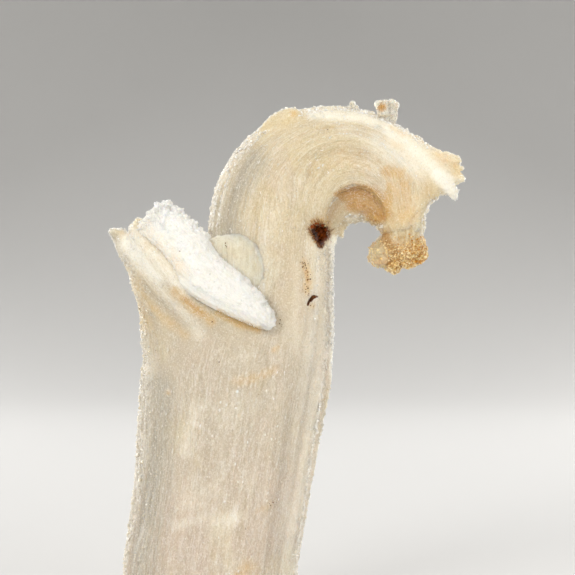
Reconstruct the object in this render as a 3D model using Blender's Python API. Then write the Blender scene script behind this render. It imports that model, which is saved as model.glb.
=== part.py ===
"""A gypsum curl, the mineral collector's "ram's horn": a bundle of gypsum fibres that rises as a broad stem and curls
over to the right, beside the broken stub of a second curl on its left. It grew as one piece, so it is one solid.

+Z is up, +X is towards the tip of the curl and -Y is the front. The origin is the middle of the flat cut across the
stem, which the crystal stands on. Sizes are in millimetres and angles in degrees.
"""

import math
from collections import namedtuple

import bmesh
import bpy
from mathutils import Matrix, Vector, noise

MM = 0.001  # metres in a millimetre

# The rim of the curl is a spiral round CURL_CENTRE. The throat under it, where the curl turns down, is a plain arc.
CURL_CENTRE = (22.6, 78.0)
CURL_ANGLES = (174.0, 28.0)  # from where the curl leaves the stem to its ragged end
CURL_RADIUS = 22.6  # at the first of those angles
CURL_OPENING = 1.9  # how much wider the spiral is at the second
LIP_REACH = 3.0  # and how far the ragged end stands out past the spiral
THROAT_CENTRE = (29.8, 74.2)
THROAT_RADII = (5.8, 4.4)  # where the curl leaves the stem, and from soon after that
THROAT_ANGLES = (180.0, 38.0)
CURL_DEPTHS = (18.0, 9.4)  # front to back, at the two ends of the curl

# The surface of the bundle.
STEM_STATIONS = 12
CURL_STATIONS = 27
END_STATIONS = 8
FRONT_POINTS = 32
SEAM_POINT = 21  # of those, the one that runs along the seam and then along the edge of the ledge
BACK_POINTS = 20
ROUNDNESS = 2.7  # exponent of the section's outline: 2 is an ellipse, more is squarer
FLUTE_HEIGHT = 0.8
FLUTES_ROUND = 3.2  # sets how many flutes there are round the bundle
RIDGE_HEIGHT = 0.85
RIDGES_ROUND = 8.0
BACK_SHARE = 1.6  # how much deeper the flutes are behind
FLUTE_DRIFT = 0.022  # how fast they change along the bundle, per millimetre
FULL_FLUTES_FROM = 11.0  # a bundle less deep than this has lower flutes
THROAT_CALM = 0.75  # how much lower the flutes are at the throat of the curl, where its ribs draw together
BACK_FURROW = (0.64, 0.035, 1.8)  # share of the way round, width as such a share, and depth

# The seam marks off a band at the right of the stem. Above it, the front steps back in a hollow over the throat.
SEAM_ACROSS = 0.82  # from -1 at the rim to 1 at the throat
SEAM_DEPTH = 0.6
LEDGE_ACROSS = 0.36  # the same measure where the hollow is widest
LEDGE_SKEW = 1.6  # more than 1 moves that place towards the tip
LEDGE_DEPTH = 2.6
LEDGE_FLOOR_RISE = 0.55  # how much of that depth is gone again at the throat

# A rib is a cut across a bundle: its two edges, seen from the front, its depth and the y of its middle.
Rib = namedtuple("Rib", "rim_x rim_z throat_x throat_z depth middle")

STEM_RIBS = [
    Rib(-17.4, 0.0, 17.3, 0.0, 21.5, 0.0),
    Rib(-17.4, 11.0, 17.5, 11.0, 21.5, 0.0),
    Rib(-15.8, 21.0, 18.9, 21.0, 21.0, 0.0),
    Rib(-14.7, 32.0, 20.6, 32.0, 20.5, 0.1),
    Rib(-14.0, 43.0, 22.5, 43.0, 20.0, 0.2),
    Rib(-13.2, 51.0, 23.7, 51.5, 19.5, 0.3),
    Rib(-8.6, 60.0, 23.9, 59.0, 19.0, 0.4),
    Rib(-3.4, 66.4, 23.8, 65.0, 18.6, 0.5),
    Rib(-0.6, 72.0, 23.8, 70.4, 18.2, 0.5),
]
# Past the ragged end, the ribs swing round the throat and down the neck to the knob.
END_RIBS = [
    Rib(47.4, 88.2, 33.4, 76.9, 9.2, -2.3),
    Rib(45.8, 84.6, 33.7, 76.4, 9.0, -2.4),
    Rib(43.8, 82.0, 33.9, 75.9, 8.6, -2.5),
    Rib(42.6, 79.8, 34.0, 75.3, 8.2, -2.6),
    Rib(41.9, 77.7, 34.0, 74.7, 7.8, -2.6),
    Rib(41.6, 75.8, 33.9, 74.0, 7.4, -2.6),
    Rib(41.0, 74.0, 33.7, 73.2, 7.0, -2.6),
]

# The stub: a leaf that flares out of the stem's left edge, and the core between it and the blades in front.
LEAF_RIBS = [
    Rib(-11.6, 44.0, 4.0, 44.0, 14.0, 0.2),
    Rib(-13.4, 53.0, 3.0, 53.0, 17.0, 0.3),
    Rib(-13.9, 60.0, 0.6, 60.0, 17.2, 0.2),
    Rib(-15.5, 66.0, -3.4, 66.0, 14.8, -0.4),
    Rib(-17.1, 71.0, -7.4, 70.8, 11.0, -1.6),
    Rib(-18.8, 74.4, -12.0, 73.6, 7.4, -2.8),
    Rib(-19.9, 76.4, -15.6, 75.6, 4.4, -3.6),
    Rib(-19.6, 77.1, -17.0, 76.8, 2.0, -4.0),
]
CORE_RIBS = [
    Rib(-11.0, 52.0, 8.0, 52.0, 17.5, 0.4),
    Rib(-12.6, 62.0, 5.0, 62.0, 16.5, 0.2),
    Rib(-12.9, 69.0, 1.2, 69.0, 13.6, -0.6),
    Rib(-12.6, 73.4, -2.6, 73.8, 10.4, -1.8),
    Rib(-12.6, 76.4, -5.8, 76.8, 7.2, -3.2),
    Rib(-11.6, 78.4, -8.0, 78.6, 3.8, -4.0),
]

# A knot is one place along a strand: its middle, half its width as seen from the front, and half its depth.
Knot = namedtuple("Knot", "x y z wide deep")

STRANDS = {
    "upper_blade": [
        Knot(-12.5, -5.8, 79.9, 3.6, 2.6),
        Knot(-11.4, -6.2, 79.1, 4.5, 3.9),
        Knot(-8.6, -7.2, 76.4, 5.1, 4.4),
        Knot(-5.0, -8.2, 72.5, 5.2, 4.5),
        Knot(-2.4, -8.8, 69.2, 4.9, 4.4),
        Knot(0.8, -9.2, 66.6, 4.5, 4.1),
        Knot(5.1, -9.6, 63.7, 3.9, 3.8),
        Knot(8.2, -9.8, 61.5, 3.1, 3.3),
        Knot(10.6, -9.8, 59.4, 2.2, 2.6),
        Knot(12.0, -9.6, 57.8, 0.9, 1.3),
    ],
    "middle_blade": [
        Knot(-15.6, -4.6, 77.2, 0.7, 1.0),
        Knot(-14.0, -6.0, 76.0, 1.6, 2.0),
        Knot(-11.0, -8.0, 72.8, 1.8, 2.4),
        Knot(-8.0, -9.4, 69.4, 1.7, 2.6),
        Knot(-5.4, -10.0, 66.0, 1.4, 2.2),
        Knot(-3.8, -9.8, 63.8, 0.6, 1.0),
    ],
    "lower_blade": [
        Knot(-18.0, -4.0, 74.6, 1.1, 1.4),
        Knot(-16.6, -5.2, 72.8, 1.9, 2.2),
        Knot(-14.0, -6.8, 70.4, 2.1, 2.6),
        Knot(-11.2, -8.2, 67.4, 2.1, 2.7),
        Knot(-8.2, -9.0, 64.4, 2.0, 2.6),
        Knot(-5.2, -9.4, 61.8, 1.9, 2.3),
        Knot(-2.2, -9.6, 58.8, 1.8, 1.9),
        Knot(-0.2, -9.2, 56.0, 1.0, 1.1),
    ],
    "seam_rib": [
        Knot(16.4, -7.8, 50.0, 0.8, 0.8),
        Knot(16.8, -8.0, 58.0, 1.6, 1.5),
        Knot(17.1, -7.7, 66.0, 1.7, 1.5),
        Knot(17.5, -6.4, 73.0, 0.7, 0.8),
    ],
    "rim_mound": [
        Knot(9.6, -1.0, 96.0, 0.7, 1.6),
        Knot(12.8, -1.2, 98.2, 1.6, 3.2),
        Knot(16.0, -1.2, 99.4, 1.7, 3.4),
        Knot(18.4, -1.0, 98.6, 0.7, 2.0),
    ],
    "lip_prong": [
        Knot(38.0, -3.2, 92.6, 1.6, 1.6),
        Knot(41.6, -4.8, 90.4, 2.0, 2.2),
        Knot(44.4, -5.0, 88.0, 1.9, 2.1),
        Knot(46.2, -5.0, 85.8, 1.6, 1.7),
        Knot(47.6, -4.8, 83.8, 1.0, 1.2),
        Knot(48.1, -4.6, 82.9, 0.5, 0.6),
    ],
    "throat_tooth": [
        Knot(24.6, 0.4, 78.0, 1.0, 1.6),
        Knot(25.6, 0.2, 76.4, 0.7, 1.1),
        Knot(26.2, 0.0, 75.4, 0.25, 0.4),
    ],
}
STRAND_STEP = 2.1  # longest distance between two rings of a strand
STRAND_SQUARENESS = 0.65  # exponent of a strand's section: 1 is an ellipse, less is squarer
STRAND_AROUND = (10, 3.0)  # points round a strand, and how many more for each millimetre of its width
RIDGE_PITCH = 1.0  # sets how many ridges a strand has for its width
STRAND_RIDGE = 1.1
STRAND_BREAK = 0.9  # how far a strand's ends are ragged, along the strand

# A plate is flat, with a bevelled edge: its corners seen from the front, and the y of its front and its back.
Plate = namedtuple("Plate", "corners front back bevel")
PLATES = {
    "front_plate": Plate(
        [(-1.2, 74.6), (1.2, 75.6), (4.2, 76.0), (7.0, 75.8), (8.6, 74.2), (10.0, 72.2), (11.0, 69.6), (11.4, 66.6),
         (11.3, 62.8), (10.0, 59.0), (5.0, 60.0), (0.0, 66.0)],
        -10.3, -5.0, 0.8,
    ),
    "lip_lamina": Plate(
        [(40.0, 93.8), (43.6, 92.8), (46.4, 91.6), (48.5, 90.6), (49.2, 89.9), (48.8, 89.2), (49.2, 88.3),
         (49.5, 87.4), (49.9, 86.8), (49.4, 86.2), (47.4, 86.4), (44.0, 86.6), (40.0, 88.0)],
        -3.4, 0.6, 0.35,
    ),
    "lip_block": Plate(
        [(38.6, 93.6), (42.0, 92.4), (45.0, 91.0), (46.4, 88.6), (46.6, 85.8), (44.0, 84.6), (39.0, 86.0)],
        -6.2, 1.4, 1.0,
    ),
}

# Small crystals on the rim: the middle, the three half sizes and the lean to the right.
Crystal = namedtuple("Crystal", "x y z half_x half_y half_z lean")
RIM_CRYSTALS = [
    Crystal(28.2, -1.6, 101.2, 0.75, 1.0, 1.2, -20.0),
    Crystal(34.3, -2.2, 100.6, 1.2, 1.4, 1.9, -6.0),
    Crystal(35.9, -1.6, 100.6, 0.95, 1.5, 2.1, 8.0),
    Crystal(31.2, 1.8, 100.2, 1.3, 1.4, 1.1, 24.0),
    Crystal(6.8, 2.6, 93.2, 1.1, 1.5, 1.2, -40.0),
]
CRYSTAL_BEVEL = 0.35

# The granular knob at the tip: lumps that run together.
Lump = namedtuple("Lump", "x y z half_x half_y half_z")
KNOB_LUMPS = [
    Lump(37.8, -2.9, 72.4, 4.7, 4.3, 3.7),
    Lump(33.9, -2.3, 71.9, 3.2, 3.7, 3.3),
    Lump(39.2, -1.6, 74.2, 2.9, 3.6, 2.6),
]
KNOB_ROUGHNESS = 0.2  # as a share of a lump's radius
KNOB_GRAIN = 0.5

# The two pits: the big one has its corners round its middle, and narrows towards its floor.
PIT_CENTRE = (21.7, 76.4)
PIT_CORNERS = [(-2.0, 1.3), (-1.0, 1.9), (0.1, 1.7), (1.3, 1.1), (1.8, 0.0), (1.9, -1.8), (-0.2, -3.2), (-1.3, -2.2),
               (-1.7, -0.4)]
PIT_YS = (-14.0, -2.0)  # its mouth is in front of the surface
PIT_SHARES = (1.45, 0.3)  # its size at those
CHIP_CENTRE = (19.8, 63.6)
CHIP_CORNERS = [(-0.7, -0.4), (0.1, -0.7), (0.8, -0.1), (0.5, 0.7), (-0.3, 0.6)]
CHIP_YS = (-12.0, -6.4)
CHIP_SHARES = (1.6, 0.5)

GYPSUM_COLOUR = (0.78, 0.72, 0.58, 1.0)
GYPSUM_ROUGHNESS = 0.45
SMOOTH_BELOW = 32.0  # edges sharper than this stay sharp


def clear_scene():
    for obj in list(bpy.data.objects):
        bpy.data.objects.remove(obj)


def smoothstep(value):
    value = min(1.0, max(0.0, value))
    return value * value * (3 - 2 * value)


def along_curve(points, share):
    """The point this share of the way along a list of named tuples, on a Catmull-Rom curve through all of them."""
    place = share * (len(points) - 1)
    first = min(int(place), len(points) - 2)
    t = place - first
    before, a, b, after = (points[min(max(first + k, 0), len(points) - 1)] for k in (-1, 0, 1, 2))
    mixed = [
        0.5 * (2 * q + (r - p) * t + (2 * p - 5 * q + 4 * r - s) * t**2 + (3 * q - p - 3 * r + s) * t**3)
        for p, q, r, s in zip(before, a, b, after)
    ]
    return type(a)(*mixed)


def on_circle(centre, radius, angle):
    return centre[0] + radius * math.cos(angle), centre[1] + radius * math.sin(angle)


def curl_rib(share):
    """The rib this share of the way round the curl."""
    rim_angle, throat_angle = (
        math.radians(first + (last - first) * share) for first, last in (CURL_ANGLES, THROAT_ANGLES)
    )
    rim_radius = CURL_RADIUS + CURL_OPENING * share**2.2 + LIP_REACH * share**12
    rim = on_circle(CURL_CENTRE, rim_radius, rim_angle)
    throat_radius = THROAT_RADII[1] + (THROAT_RADII[0] - THROAT_RADII[1]) * (1 - share) ** 6
    throat = on_circle(THROAT_CENTRE, throat_radius, throat_angle)
    depth = CURL_DEPTHS[0] + (CURL_DEPTHS[1] - CURL_DEPTHS[0]) * share**1.2
    return Rib(*rim, *throat, depth, 0.5 - 2.7 * share**2)


def ledge_across(share):
    """Where the edge of the hollow is at this share of the curl, from -1 at the rim to 1 at the throat."""
    return SEAM_ACROSS + (LEDGE_ACROSS - SEAM_ACROSS) * math.sin(math.pi * share**LEDGE_SKEW)


def fluting(turn, along):
    """How far the fibres stand out, by the share of a turn round the bundle and the distance along it."""
    angle = 2 * math.pi * turn
    around = Vector((math.cos(angle), math.sin(angle), 0.0))
    drift = Vector((0.0, 0.0, along * FLUTE_DRIFT))
    flute = FLUTE_HEIGHT * noise.noise(around * FLUTES_ROUND + drift)
    ridge = RIDGE_HEIGHT * (0.25 - abs(noise.noise(around * RIDGES_ROUND + drift * 2)))
    behind = smoothstep(-4 * math.sin(angle))
    furrow_at, furrow_width, furrow_depth = BACK_FURROW
    furrow = furrow_depth * math.exp(-(((turn - furrow_at) / furrow_width) ** 2))
    return (flute + ridge) * (1 + (BACK_SHARE - 1) * behind) - furrow


def bundle_angles(seam_across):
    """The angles of a section's points, from the rim over the front to the throat, and back behind."""
    seam = math.acos(-math.copysign(abs(seam_across) ** (ROUNDNESS / 2), seam_across))
    to_seam = [seam * k / SEAM_POINT for k in range(SEAM_POINT)]
    from_seam = [
        seam + (math.pi - seam) * k / (FRONT_POINTS - SEAM_POINT) for k in range(FRONT_POINTS - SEAM_POINT)
    ]
    behind = [math.pi + math.pi * k / BACK_POINTS for k in range(BACK_POINTS)]
    return to_seam + from_seam + behind


def section(rib, along, angles, calm=0.0, seam_depth=0.0, ledge_depth=0.0):
    """The outline of a bundle at one rib: a rounded oblong between its two edges, with the ridges of its fibres."""
    width = math.hypot(rib.throat_x - rib.rim_x, rib.throat_z - rib.rim_z)
    ring = []
    for number, angle in enumerate(angles):
        across = -math.copysign(abs(math.cos(angle)) ** (2 / ROUNDNESS), math.cos(angle))
        deep = -math.copysign(abs(math.sin(angle)) ** (2 / ROUNDNESS), math.sin(angle))
        outwards = Vector((across * rib.depth, deep * width)).normalized()
        out = fluting(number / len(angles), along) * min(1.0, rib.depth / FULL_FLUTES_FROM)
        out *= 1 - calm * smoothstep(across)
        set_back = 0.0
        if SEAM_POINT < number < FRONT_POINTS:
            past = (number - SEAM_POINT - 1) / (FRONT_POINTS - SEAM_POINT)
            set_back = ledge_depth * (1 - LEDGE_FLOOR_RISE * past)
        elif number == SEAM_POINT:
            out -= seam_depth
        share = (across + 1) / 2 + outwards.x * out / width
        x = rib.rim_x + (rib.throat_x - rib.rim_x) * share
        z = rib.rim_z + (rib.throat_z - rib.rim_z) * share
        ring.append(Vector((x, rib.middle + deep * rib.depth / 2 + outwards.y * out + set_back, z)))
    return ring


def main_stations():
    """The ribs of the stem and the curl, from the flat cut at the bottom to the knob, and what each section needs."""
    for k in range(STEM_STATIONS):
        yield along_curve(STEM_RIBS, k / STEM_STATIONS), SEAM_ACROSS, 0.0, SEAM_DEPTH, 0.0
    for k in range(CURL_STATIONS + 1):
        share = k / CURL_STATIONS
        calm = THROAT_CALM * smoothstep(6 * share)
        seam_depth = SEAM_DEPTH * (1 - smoothstep(8 * share))
        hollow = LEDGE_DEPTH * max(0.0, math.sin(math.pi * share)) ** 0.7
        yield curl_rib(share), ledge_across(share), calm, seam_depth, hollow
    ends = [curl_rib(1.0), *END_RIBS]
    for k in range(1, END_STATIONS + 1):
        yield along_curve(ends, k / END_STATIONS), SEAM_ACROSS, THROAT_CALM, 0.0, 0.0


def main_rings():
    rings = []
    along = 0.0
    last_middle = None
    for rib, seam_across, *depths in main_stations():
        middle = Vector(((rib.rim_x + rib.throat_x) / 2, (rib.rim_z + rib.throat_z) / 2))
        along += (middle - last_middle).length if last_middle else 0.0
        last_middle = middle
        rings.append(section(rib, along, bundle_angles(seam_across), *depths))
    return rings


def short_bundle_rings(ribs, stations, around, phase):
    """The rings of a short bundle through these ribs. The phase moves it to other fibre ridges."""
    angles = [2 * math.pi * k / around for k in range(around)]
    return [section(along_curve(ribs, k / stations), phase + 3.0 * k, angles) for k in range(stations + 1)]


def strand_rings(knots, phase):
    """The rings of a strand: squarish ovals across a smooth line through its knots, ridged, with ragged ends."""
    length = sum(math.dist(a[:3], b[:3]) for a, b in zip(knots, knots[1:]))
    count = max(len(knots), math.ceil(length / STRAND_STEP))
    widest = max(knot.wide for knot in knots)
    around = round(STRAND_AROUND[0] + STRAND_AROUND[1] * widest)
    rings = []
    for k in range(count + 1):
        knot = along_curve(knots, k / count)
        ahead = along_curve(knots, min(1.0, k / count + 0.01))
        behind = along_curve(knots, max(0.0, k / count - 0.01))
        run = (Vector(ahead[:3]) - Vector(behind[:3])).normalized()
        side = run.cross(Vector((0, 1, 0))).normalized()
        front = side.cross(run)
        ring = []
        for j in range(around):
            cosine, sine = (f(2 * math.pi * j / around) for f in (math.cos, math.sin))
            place = Vector((cosine, sine, 0.0)) * widest / RIDGE_PITCH + Vector((0.0, 0.0, 0.06 * k + phase))
            ridge = STRAND_RIDGE * noise.noise(place) * min(1.0, knot.wide / 2)
            ragged = STRAND_BREAK * noise.noise(place + Vector((7.0, 0.0, 0.0))) if k in (0, count) else 0.0
            ragged *= min(1.0, knot.wide / 2)
            wide = (knot.wide + ridge) * math.copysign(abs(cosine) ** STRAND_SQUARENESS, cosine)
            deep = (knot.deep + ridge) * math.copysign(abs(sine) ** STRAND_SQUARENESS, sine)
            ring.append(Vector(knot[:3]) + side * wide + front * deep + run * ragged)
        rings.append(ring)
    return rings


def plate_rings(plate):
    """The rings of a plate, from its back to its front face inside the bevel."""
    middle = Vector((sum(c[k] for c in plate.corners) / len(plate.corners) for k in (0, 1)))
    reach = sum((Vector(corner) - middle).length for corner in plate.corners) / len(plate.corners)
    rings = []
    for y, share in ((plate.back, 1.0), (plate.front + plate.bevel, 1.0), (plate.front, 1 - plate.bevel / reach)):
        corners = [middle + (Vector(corner) - middle) * share for corner in plate.corners]
        rings.append([Vector((corner.x, y, corner.y)) for corner in corners])
    return rings


def solid_from_rings(name, rings):
    """A closed object with a skin over the rings, and a fan of faces round the middle of each end."""
    mesh = bmesh.new()
    loops = [[mesh.verts.new(point * MM) for point in ring] for ring in rings]
    for lower, upper in zip(loops, loops[1:]):
        for j in range(len(lower)):
            after = (j + 1) % len(lower)
            mesh.faces.new((lower[j], lower[after], upper[after], upper[j]))
    for loop, ring in ((loops[0], rings[0]), (loops[-1], rings[-1])):
        middle = mesh.verts.new(sum(ring, Vector()) / len(ring) * MM)
        for j in range(len(loop)):
            mesh.faces.new((loop[j], loop[(j + 1) % len(loop)], middle))
    return finished_object(name, mesh)


def finished_object(name, mesh):
    """The bmesh as an object, in triangles, with every face pointing out."""
    bmesh.ops.triangulate(mesh, faces=mesh.faces, quad_method="SHORT_EDGE")
    bmesh.ops.recalc_face_normals(mesh, faces=mesh.faces)
    data = bpy.data.meshes.new(name)
    mesh.to_mesh(data)
    mesh.free()
    obj = bpy.data.objects.new(name, data)
    bpy.context.scene.collection.objects.link(obj)
    return obj


def rim_crystal(number, crystal):
    """A small blocky crystal with its edges taken off, leaning along the rim."""
    mesh = bmesh.new()
    bmesh.ops.create_cube(mesh, size=2.0)
    halves = Vector((crystal.half_x, crystal.half_y, crystal.half_z))
    bmesh.ops.scale(mesh, vec=halves * MM, verts=mesh.verts)
    bmesh.ops.bevel(mesh, geom=mesh.edges, offset=CRYSTAL_BEVEL * MM, segments=1, affect="EDGES")
    lean = Matrix.Rotation(math.radians(crystal.lean), 3, "Y")
    bmesh.ops.rotate(mesh, matrix=lean, verts=mesh.verts)
    bmesh.ops.translate(mesh, vec=Vector((crystal.x, crystal.y, crystal.z)) * MM, verts=mesh.verts)
    return finished_object(f"rim_crystal_{number}", mesh)


def knob_lump(number, lump):
    """One lump of grains at the tip of the curl."""
    mesh = bmesh.new()
    bmesh.ops.create_icosphere(mesh, subdivisions=3, radius=1.0)
    centre = Vector(lump[:3])
    for vert in mesh.verts:
        swell = 1 + KNOB_ROUGHNESS * noise.noise(vert.co / KNOB_GRAIN + centre)
        vert.co = (centre + Vector(half * swell * u for half, u in zip(lump[3:], vert.co))) * MM
    return finished_object(f"knob_lump_{number}", mesh)


def pit_cutter(name, centre, corners, ys, shares):
    """The shape of a pit, narrowing from its mouth in front to its floor."""
    rings = [
        [Vector((centre[0] + share * x, y, centre[1] + share * z)) for x, z in corners] for y, share in zip(ys, shares)
    ]
    return solid_from_rings(name, rings)


def as_helper(obj):
    obj.hide_render = True
    obj.display_type = "WIRE"
    return obj


def join_to(base, others):
    """Grows the other shapes together with the base, in one solid."""
    grown_on = bpy.data.collections.new("grown_on")
    bpy.context.scene.collection.children.link(grown_on)
    for obj in others:
        bpy.context.scene.collection.objects.unlink(obj)
        grown_on.objects.link(as_helper(obj))
    union = base.modifiers.new("grown together", "BOOLEAN")
    union.operation = "UNION"
    union.operand_type = "COLLECTION"
    union.collection = grown_on
    union.solver = "EXACT"


def cut_from(base, cutter):
    cut = base.modifiers.new("cut " + cutter.name, "BOOLEAN")
    cut.operation = "DIFFERENCE"
    cut.object = as_helper(cutter)
    cut.solver = "EXACT"


def gypsum():
    """Dull white gypsum, a little yellow."""
    material = bpy.data.materials.new("gypsum")
    material.use_nodes = True
    shader = material.node_tree.nodes["Principled BSDF"]
    shader.inputs["Base Color"].default_value = GYPSUM_COLOUR
    shader.inputs["Roughness"].default_value = GYPSUM_ROUGHNESS
    shader.inputs["Metallic"].default_value = 0.0
    return material


def gypsum_curl():
    curl = solid_from_rings("gypsum_curl", main_rings())
    grown = [
        solid_from_rings("stub_leaf", short_bundle_rings(LEAF_RIBS, 10, 18, 40.0)),
        solid_from_rings("stub_core", short_bundle_rings(CORE_RIBS, 8, 16, 90.0)),
    ]
    grown += [
        solid_from_rings(name, strand_rings(knots, 10.0 * number))
        for number, (name, knots) in enumerate(STRANDS.items())
    ]
    grown += [solid_from_rings(name, plate_rings(plate)) for name, plate in PLATES.items()]
    grown += [rim_crystal(number, crystal) for number, crystal in enumerate(RIM_CRYSTALS)]
    grown += [knob_lump(number, lump) for number, lump in enumerate(KNOB_LUMPS)]
    join_to(curl, grown)
    cut_from(curl, pit_cutter("pit", PIT_CENTRE, PIT_CORNERS, PIT_YS, PIT_SHARES))
    cut_from(curl, pit_cutter("chip", CHIP_CENTRE, CHIP_CORNERS, CHIP_YS, CHIP_SHARES))
    curl.data.materials.append(gypsum())
    curl.data.shade_smooth()
    curl.data.set_sharp_from_angle(angle=math.radians(SMOOTH_BELOW))
    return curl


clear_scene()
gypsum_curl()
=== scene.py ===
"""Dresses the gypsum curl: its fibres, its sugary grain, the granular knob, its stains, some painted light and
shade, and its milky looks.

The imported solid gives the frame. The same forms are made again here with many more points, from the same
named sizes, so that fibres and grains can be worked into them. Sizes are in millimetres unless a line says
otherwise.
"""

import math
from collections import namedtuple

import bmesh
import bpy
import numpy as np
from mathutils import Euler, Matrix, Vector, noise
from mathutils.bvhtree import BVHTree
from mathutils.geometry import barycentric_transform


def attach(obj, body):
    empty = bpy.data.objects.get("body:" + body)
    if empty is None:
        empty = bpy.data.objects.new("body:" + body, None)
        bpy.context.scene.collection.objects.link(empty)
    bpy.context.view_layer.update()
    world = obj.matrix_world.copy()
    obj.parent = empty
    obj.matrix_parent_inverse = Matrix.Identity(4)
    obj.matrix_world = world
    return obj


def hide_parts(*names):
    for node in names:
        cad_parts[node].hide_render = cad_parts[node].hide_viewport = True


MM = 0.001  # metres in a millimetre
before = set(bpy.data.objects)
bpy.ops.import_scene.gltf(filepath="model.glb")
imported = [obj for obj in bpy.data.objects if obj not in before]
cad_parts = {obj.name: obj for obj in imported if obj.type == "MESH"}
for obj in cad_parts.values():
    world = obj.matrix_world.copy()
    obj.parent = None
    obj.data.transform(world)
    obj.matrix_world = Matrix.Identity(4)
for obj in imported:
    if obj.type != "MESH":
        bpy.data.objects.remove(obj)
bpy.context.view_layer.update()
noise.seed_set(1)  # without it, noise_vector takes its offsets from the clock

# ---- The forms, with the sizes of the solid

CURL_CENTRE = (22.6, 78)
CURL_ANGLES = (174, 28)
CURL_RADIUS = 22.6
CURL_OPENING = 1.9
LIP_REACH = 3
THROAT_CENTRE = (29.8, 74.2)
THROAT_RADII = (5.8, 4.4)
THROAT_ANGLES = (180, 38)
CURL_DEPTHS = (18, 9.4)

FINER_ROUND = 5  # times as many points round the bundle as the solid has
STEM_STATIONS = 60
CURL_STATIONS = 110
END_STATIONS = 36
SHORT_BUNDLE_STEP = 0.375  # the distance along the leaf and the core from one ring to the next
FRONT_POINTS = 32 * FINER_ROUND
SEAM_POINT = 21 * FINER_ROUND
BACK_POINTS = 20 * FINER_ROUND
ROUNDNESS = 2.7
FLUTE_HEIGHT = 0.8
FLUTES_ROUND = 3.2
RIDGE_HEIGHT = 0.85
RIDGES_ROUND = 8.0
BACK_SHARE = 1.6
FLUTE_DRIFT = 0.022
FULL_FLUTES_FROM = 11
THROAT_CALM = 0.75
BACK_FURROW = (0.64, 0.035, 1.8)
SEAM_ACROSS = 0.82
SEAM_DEPTH = 0.6
LEDGE_ACROSS = 0.36
LEDGE_SKEW = 1.6
LEDGE_DEPTH = 2.6
LEDGE_FLOOR_RISE = 0.55

Rib = namedtuple("Rib", "rim_x rim_z throat_x throat_z depth middle")
Knot = namedtuple("Knot", "x y z wide deep")
Strand = namedtuple("Strand", "phase ridges lean knots")
Plate = namedtuple("Plate", "front back bevel corners")
Crystal = namedtuple("Crystal", "x y z half_x half_y half_z lean")
Lump = namedtuple("Lump", "x y z half_x half_y half_z")
Level = namedtuple("Level", "z left right half_deep")
Pit = namedtuple("Pit", "centre corners ys shares seed")
Layer = namedtuple("Layer", "across along height")
Specks = namedtuple("Specks", "x z count spread radius")


def rows(kind, *values):
    return [kind(*row) for row in values]


STEM_RIBS = rows(
    Rib, (-17.4, 0, 17.3, 0, 21.5, 0), (-17.4, 11, 17.5, 11, 21.5, 0), (-15.8, 21, 18.9, 21, 21, 0),
    (-14.7, 32, 20.6, 32, 20.5, 0.1), (-14, 43, 22.5, 43, 20, 0.2), (-13.2, 51, 23.7, 51.5, 19.5, 0.3),
    (-8.6, 60, 23.9, 59, 19, 0.4), (-3.4, 66.4, 23.8, 65, 18.6, 0.5), (-0.6, 72, 23.8, 70.4, 18.2, 0.5),
)
END_RIBS = rows(
    Rib, (47.4, 88.2, 33.4, 76.9, 9.2, -2.3), (45.8, 84.6, 33.7, 76.4, 9, -2.4),
    (43.2, 82, 33.9, 75.9, 8.6, -2.5), (42.1, 79.8, 34, 75.3, 8.2, -2.6), (41.9, 77.7, 34, 74.7, 7.8, -2.6),
    (41.6, 75.8, 33.9, 74, 7.4, -2.6), (41, 74, 33.7, 73.2, 7, -2.6),
)
LEAF_RIBS = rows(
    Rib, (-11.6, 44, 4, 44, 14, 0.2), (-13.4, 53, 3, 53, 17, 0.3), (-13.9, 60, 0.6, 60, 17.2, 0.2),
    (-15.5, 66, -3.4, 66, 14.8, -0.4), (-17.1, 71, -7.4, 70.8, 11, -1.6), (-18.8, 74.4, -12, 73.6, 7.4, -2.8),
    (-19.9, 76.4, -15.6, 75.6, 4.4, -3.6), (-19.6, 77.1, -17, 76.8, 2, -4),
)
CORE_RIBS = rows(
    Rib, (-11, 52, 8, 52, 17.5, 0.4), (-12.6, 62, 5, 62, 16.5, 0.2), (-12.9, 69, 1.2, 69, 13.6, -0.6),
    (-12.6, 73.4, -2.6, 73.8, 10.4, -1.8), (-12.6, 76.4, -5.8, 76.8, 7.2, -3.2),
    (-11.6, 78.4, -8, 78.6, 3.8, -4),
)

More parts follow.
